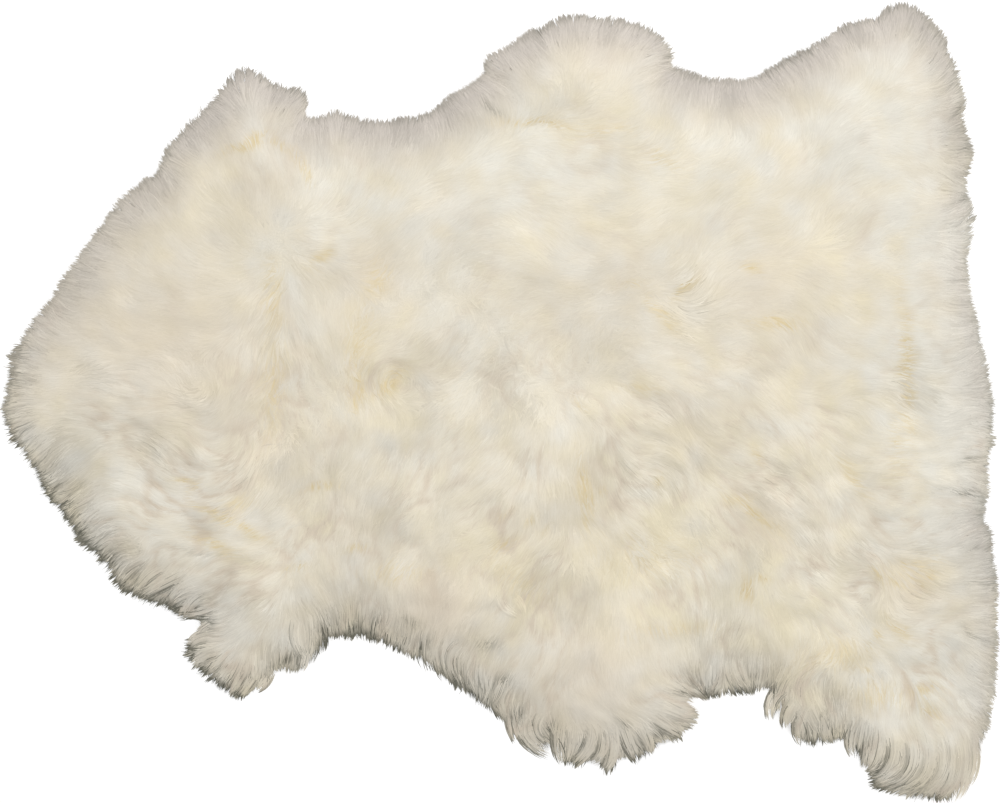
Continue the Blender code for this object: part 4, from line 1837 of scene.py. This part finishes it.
def node(tree: Tree, kind: str, inputs: dict[str | int, object], output: str) -> Socket:
    """Return what a new node puts out.

    Args:
        tree: the tree that the node joins.
        kind: the node's type.
        inputs: its inputs, as feed takes them.
        output: the output's name.

    Returns:
        That output's socket.
    """
    made = tree.nodes.new(kind)
    feed(tree, made, inputs)
    return made.outputs[output]


def mixed(tree: Tree, share: Socket, first: Socket | tuple, second: Socket | tuple) -> Socket:
    """Return a mix of two colours.

    Args:
        tree: the tree that the mix joins.
        share: the second colour's share.
        first: the colour where the share is 0.
        second: the colour where it is 1.

    Returns:
        The mixed colour's socket.
    """
    mix = tree.nodes.new("ShaderNodeMix")
    mix.data_type = "RGBA"
    feed(tree, mix, {0: share, 6: first, 7: second})
    return mix.outputs[2]


def spread(tree: Tree, value: Socket, span: tuple[float, float], onto: tuple[float, float]) -> Socket:
    """Return a value carried from its own span onto another, and held at its ends."""
    ends = {"From Min": span[0], "From Max": span[1], "To Min": onto[0], "To Max": onto[1]}
    return node(tree, "ShaderNodeMapRange", {"Value": value, **ends}, "Result")


def noise(tree: Tree, place: Socket, scale: float, detail: float) -> Socket:
    """Return noise of that scale and detail."""
    return node(tree, "ShaderNodeTexNoise", {"Vector": place, "Scale": scale, "Detail": detail}, "Fac")


def new_material(name: str) -> tuple[bpy.types.Material, Tree, Node]:
    """Return a new material.

    Args:
        name: its name.

    Returns:
        The material, its tree and its shader.
    """
    material = bpy.data.materials.new(name)
    material.use_nodes = True
    return material, material.node_tree, material.node_tree.nodes["Principled BSDF"]


def new_group(name: str, inputs: dict[str, str], outputs: dict[str, str]) -> tuple[Tree, Node, Node]:
    """Return a new node group.

    Args:
        name: its name.
        inputs: the type of each input socket, by its name.
        outputs: the type of each output socket, by its name.

    Returns:
        The group's tree, the node that gives its inputs and the node that puts out its outputs.
    """
    tree = bpy.data.node_groups.new(name, "ShaderNodeTree")
    for way, sockets in (("INPUT", inputs), ("OUTPUT", outputs)):
        for label, kind in sockets.items():
            tree.interface.new_socket(name=label, in_out=way, socket_type=kind)
    return tree, tree.nodes.new("NodeGroupInput"), tree.nodes.new("NodeGroupOutput")


@dataclass(frozen=True)
class Dye:
    """The wool's colours, and the node group that lays them over each other by their masks."""

    ivory: Colour = (0.750, 0.695, 0.570)
    cream: Colour = (0.750, 0.680, 0.510)
    chalk: Colour = (0.755, 0.725, 0.640)
    # Fawn: partly the wool's own tint, partly painted shade in the creases.
    fawn: Colour = (0.640, 0.560, 0.450)
    yolk: Colour = (0.680, 0.570, 0.360)
    # Ash: the edge's own grey, and partly painted shade on the rim.
    ash: Colour = (0.540, 0.495, 0.445)
    # Painted shade: the colour that the wool is darkened towards wherever shade is painted.
    shade: Colour = (0.110, 0.110, 0.085)

    def group(self) -> Tree:
        """Return the node group, with the colours as its inputs' defaults."""
        colours = {item.name.capitalize(): getattr(self, item.name) for item in fields(self)}
        inputs = {**dict.fromkeys(colours, COLOUR), **dict.fromkeys(MASKS, FLOAT)}
        tree, given, put_out = new_group("dyed wool", inputs, {"Color": COLOUR})
        for label, colour in colours.items():
            tree.interface.items_tree[label].default_value = (*colour, 1.0)
        asked = given.outputs
        warm = spread(tree, asked["Chill"], (0.0, -1.5), (0.0, 1.0))
        cool = spread(tree, asked["Chill"], (0.0, 1.5), (0.0, 1.0))
        colour = mixed(tree, warm, asked["Ivory"], asked["Cream"])
        colour = mixed(tree, cool, colour, asked["Chalk"])
        for mask, over in (("Hollow", "Fawn"), ("Yolk depth", "Yolk"), ("Rim", "Ash")):
            colour = mixed(tree, asked[mask], colour, asked[over])
        light = spread(tree, asked["Tone"], (-3.0, 3.0), (0.86, 1.14))
        colour = node(tree, "ShaderNodeHueSaturation", {"Value": light, "Color": colour}, "Color")
        # Painted shade darkens the colour towards the shade colour.
        feed(tree, put_out, {"Color": mixed(tree, asked["Gloom"], colour, asked["Shade"])})
        return tree


class Weave(Enum):
    """What a wool finish's fibres follow: the length of each strand, or the body's own space."""

    STRAND = "strand"
    BODY = "body"


@dataclass(frozen=True)
class Fibre:
    """The fine fibres of wool: the node group that streaks a colour and gives their height and roughness."""

    darkest: float = 0.95
    lightest: float = 1.06
    smoothest: float = 0.78
    roughest: float = 0.96
    middle: tuple[float, float] = (0.30, 0.70)

    def group(self) -> Tree:
        """Return the node group."""
        tree, given, put_out = new_group(
            "wool fibre",
            {"Color": COLOUR, "Vector": VECTOR},
            {"Color": COLOUR, "Height": FLOAT, "Roughness": FLOAT},
        )
        hairs = noise(tree, given.outputs["Vector"], 1.0, 2.0)
        streak = spread(tree, hairs, self.middle, (self.darkest, self.lightest))
        matt = spread(tree, hairs, self.middle, (self.roughest, self.smoothest))
        streaked = {"Value": streak, "Color": given.outputs["Color"]}
        colour = node(tree, "ShaderNodeHueSaturation", streaked, "Color")
        feed(tree, put_out, {"Color": colour, "Height": hairs, "Roughness": matt})
        return tree


@dataclass(frozen=True)
class WoolFinish:
    """A wool material: dyed by its mesh's values, streaked by its fibres and matt."""

    name: str
    dye: Tree
    fibre: Tree
    weave: Weave
    fibre_height: float
    bump: float = 0.6
    gloss: float = 0.1
    body_scale: tuple[float, float, float] = (700.0, 700.0, 500.0)
    strand_scale: tuple[float, float, float] = (1.6, 2.5, 31.0)

    def material(self) -> bpy.types.Material:
        """Return the material."""
        material, tree, shader = new_material(self.name)
        dyed = tree.nodes.new("ShaderNodeGroup")
        dyed.node_tree = self.dye
        feed(tree, dyed, {label: self._value(tree, value) for label, value in MASKS.items()})
        fibres = tree.nodes.new("ShaderNodeGroup")
        fibres.node_tree = self.fibre
        feed(tree, fibres, {"Color": dyed.outputs["Color"], "Vector": self._place(tree)})
        relief = {"Strength": self.bump, "Distance": self.fibre_height, "Height": fibres.outputs["Height"]}
        feed(tree, shader, {
            "Base Color": fibres.outputs["Color"],
            "Roughness": fibres.outputs["Roughness"],
            "Specular IOR Level": self.gloss,
            "Normal": node(tree, "ShaderNodeBump", relief, "Normal"),
        })
        return material

    def _place(self, tree: Tree) -> Socket:
        """Return the vector that the fibres lie along.

        Args:
            tree: the material's tree.

        Returns:
            The vector's socket.
        """
        if self.weave is Weave.BODY:
            place = node(tree, "ShaderNodeTexCoord", {}, "Object")
            return node(tree, "ShaderNodeMapping", {"Vector": place, "Scale": self.body_scale}, "Vector")
        place = tree.nodes.new("ShaderNodeCombineXYZ")
        for axis, label, scale in zip("XYZ", ("across", "along", "tone"), self.strand_scale):
            sized = tree.nodes.new("ShaderNodeMath")
            sized.operation = "MULTIPLY"
            feed(tree, sized, {0: self._value(tree, label), 1: scale})
            feed(tree, place, {axis: sized.outputs["Value"]})
        return place.outputs["Vector"]

    @staticmethod
    def _value(tree: Tree, label: str) -> Socket:
        """Return one of the mesh's values.

        Args:
            tree: the material's tree.
            label: the value's name.

        Returns:
            The value's socket.
        """
        reader = tree.nodes.new("ShaderNodeAttribute")
        reader.attribute_name = label
        return reader.outputs["Fac"]


@dataclass(frozen=True)
class SuedeFinish:
    """The brushed flesh side of a tanned hide: a short nap over clouded tan, with pores and wrinkles."""

    name: str = "suede"
    tan: Colour = (0.600, 0.475, 0.335)
    bone: Colour = (0.720, 0.620, 0.480)
    pore: Colour = (0.430, 0.320, 0.215)
    cloud_scale: float = 14.0
    nap_scale: float = 420.0
    pore_scale: float = 650.0
    wrinkle_scale: float = 55.0
    wrinkle_height: float = 0.0012
    nap_height: float = 0.0003
    pore_depth: float = 0.0002
    bump: float = 0.7

    def material(self) -> bpy.types.Material:
        """Return the material."""
        material, tree, shader = new_material(self.name)
        place = node(tree, "ShaderNodeTexCoord", {}, "Object")
        clouds = noise(tree, place, self.cloud_scale, 4.0)
        nap = noise(tree, place, self.nap_scale, 3.0)
        wrinkles = noise(tree, place, self.wrinkle_scale, 2.0)
        pores = node(tree, "ShaderNodeTexVoronoi", {"Vector": place, "Scale": self.pore_scale}, "Distance")
        tan, bone, pore = ((*colour, 1.0) for colour in (self.tan, self.bone, self.pore))
        colour = mixed(tree, spread(tree, clouds, (0.35, 0.65), (0.0, 1.0)), tan, bone)
        colour = mixed(tree, spread(tree, nap, (0.45, 0.75), (0.0, 0.35)), colour, bone)
        colour = mixed(tree, spread(tree, pores, (0.22, 0.05), (0.0, 0.55)), colour, pore)
        feed(tree, shader, {
            "Base Color": colour,
            "Roughness": spread(tree, nap, (0.3, 0.7), (0.82, 0.97)),
            "Specular IOR Level": 0.25,
            "Sheen Weight": 0.25,
            "Sheen Roughness": 0.6,
        })
        laid = {}
        depths = (self.wrinkle_height, self.nap_height, self.pore_depth)
        for height, deep in zip((wrinkles, nap, pores), depths):
            relief = {"Strength": self.bump, "Distance": deep, "Height": height, **laid}
            laid = {"Normal": node(tree, "ShaderNodeBump", relief, "Normal")}
        feed(tree, shader, laid)
        return material


@dataclass
class Studio:
    """The pale floor, the soft light and the camera above the rug."""

    floor_size: float = 40.0
    floor_drop: float = 0.0004
    floor_tone: float = 0.95
    floor_glow: float = 0.20
    sky_strength: float = 0.60
    key_size: float = 1.4
    key_energy: float = 38.0
    key_place: tuple[float, float, float] = (0.5, 1.2, 2.4)
    camera_height: float = 3.0
    camera_shift: float = -0.0005
    view_width: float = 1.0568
    view_level: float = 0.02
    sensor_mm: float = 36.0

    def build(self) -> None:
        """Set up the stage."""
        self._floor()
        self._light()
        self._camera()
        scene = bpy.context.scene
        scene.view_settings.view_transform = "Standard"
        scene.cycles.max_bounces = 12
        scene.cycles.diffuse_bounces = 8
        scene.cycles.transmission_bounces = 8

    def _floor(self) -> None:
        """Lay the floor, just below the hide."""
        bpy.ops.object.select_all(action="DESELECT")
        bpy.ops.mesh.primitive_plane_add(size=self.floor_size, location=(0.0, 0.0, -self.floor_drop))
        floor = bpy.context.active_object
        floor.name = "floor"
        material, tree, shader = new_material("floor")
        feed(tree, shader, {
            "Base Color": (self.floor_tone, self.floor_tone, self.floor_tone, 1.0),
            "Emission Color": (1.0, 1.0, 1.0, 1.0),
            "Emission Strength": self.floor_glow,
            "Roughness": 1.0,
            "Specular IOR Level": 0.0,
        })
        floor.data.materials.append(material)

    def _light(self) -> None:
        """Light the rug evenly from all round, with a soft key light from the far right."""
        world = bpy.data.worlds.new("studio")
        bpy.context.scene.world = world
        world.use_nodes = True
        sky = {"Color": (1.0, 1.0, 1.0, 1.0), "Strength": self.sky_strength}
        feed(world.node_tree, world.node_tree.nodes["Background"], sky)
        key = bpy.data.lights.new("key", "AREA")
        key.shape = "DISK"
        key.size = self.key_size
        key.energy = self.key_energy
        lamp = shown("key", key)
        lamp.location = self.key_place
        lamp.rotation_euler = (-Vector(self.key_place)).to_track_quat("-Z", "Y").to_euler()

    def _camera(self) -> None:
        """Set the camera above the rug, looking straight down."""
        camera = bpy.data.cameras.new("camera")
        camera.sensor_width = self.sensor_mm
        camera.lens = self.sensor_mm * (self.camera_height - self.view_level) / self.view_width
        camera.clip_end = 20.0
        stand = shown("camera", camera)
        stand.location = (self.camera_shift, 0.0, self.camera_height)
        bpy.context.scene.camera = stand


def main() -> None:
    """Build the rug and its studio, and report each piece."""
    logging.basicConfig(level=logging.INFO, format="%(name)s: %(message)s")
    plan = Plan()
    bed = Bed(Grower(Groom(plan)))
    hide = Hide(plan)
    hide_piece = hide.build()
    hide_piece.data.materials.append(SuedeFinish().material())
    dye, fibre = Dye().group(), Fibre().group()
    underwool = Underwool(bed).build()
    underwool.data.materials.append(WoolFinish("underwool", dye, fibre, Weave.BODY, 0.0006).material())
    fleece = Fleece(bed).build()
    wool = WoolFinish("long wool", dye, fibre, Weave.STRAND, 0.0001).material()
    for piece in fleece:
        piece.data.materials.append(wool)
        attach(piece, ROOT)
    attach(underwool, ROOT)
    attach(hide_piece, ROOT)
    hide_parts(PELT)
    total = 0
    for piece in [hide_piece, underwool, *fleece]:
        triangles = sum(len(face.vertices) - 2 for face in piece.data.polygons)
        total += triangles
        LOG.info("%s: %d triangles", piece.name, triangles)
    LOG.info("in all: %d triangles", total)
    Studio().build()


if __name__ == "__main__":
    main()
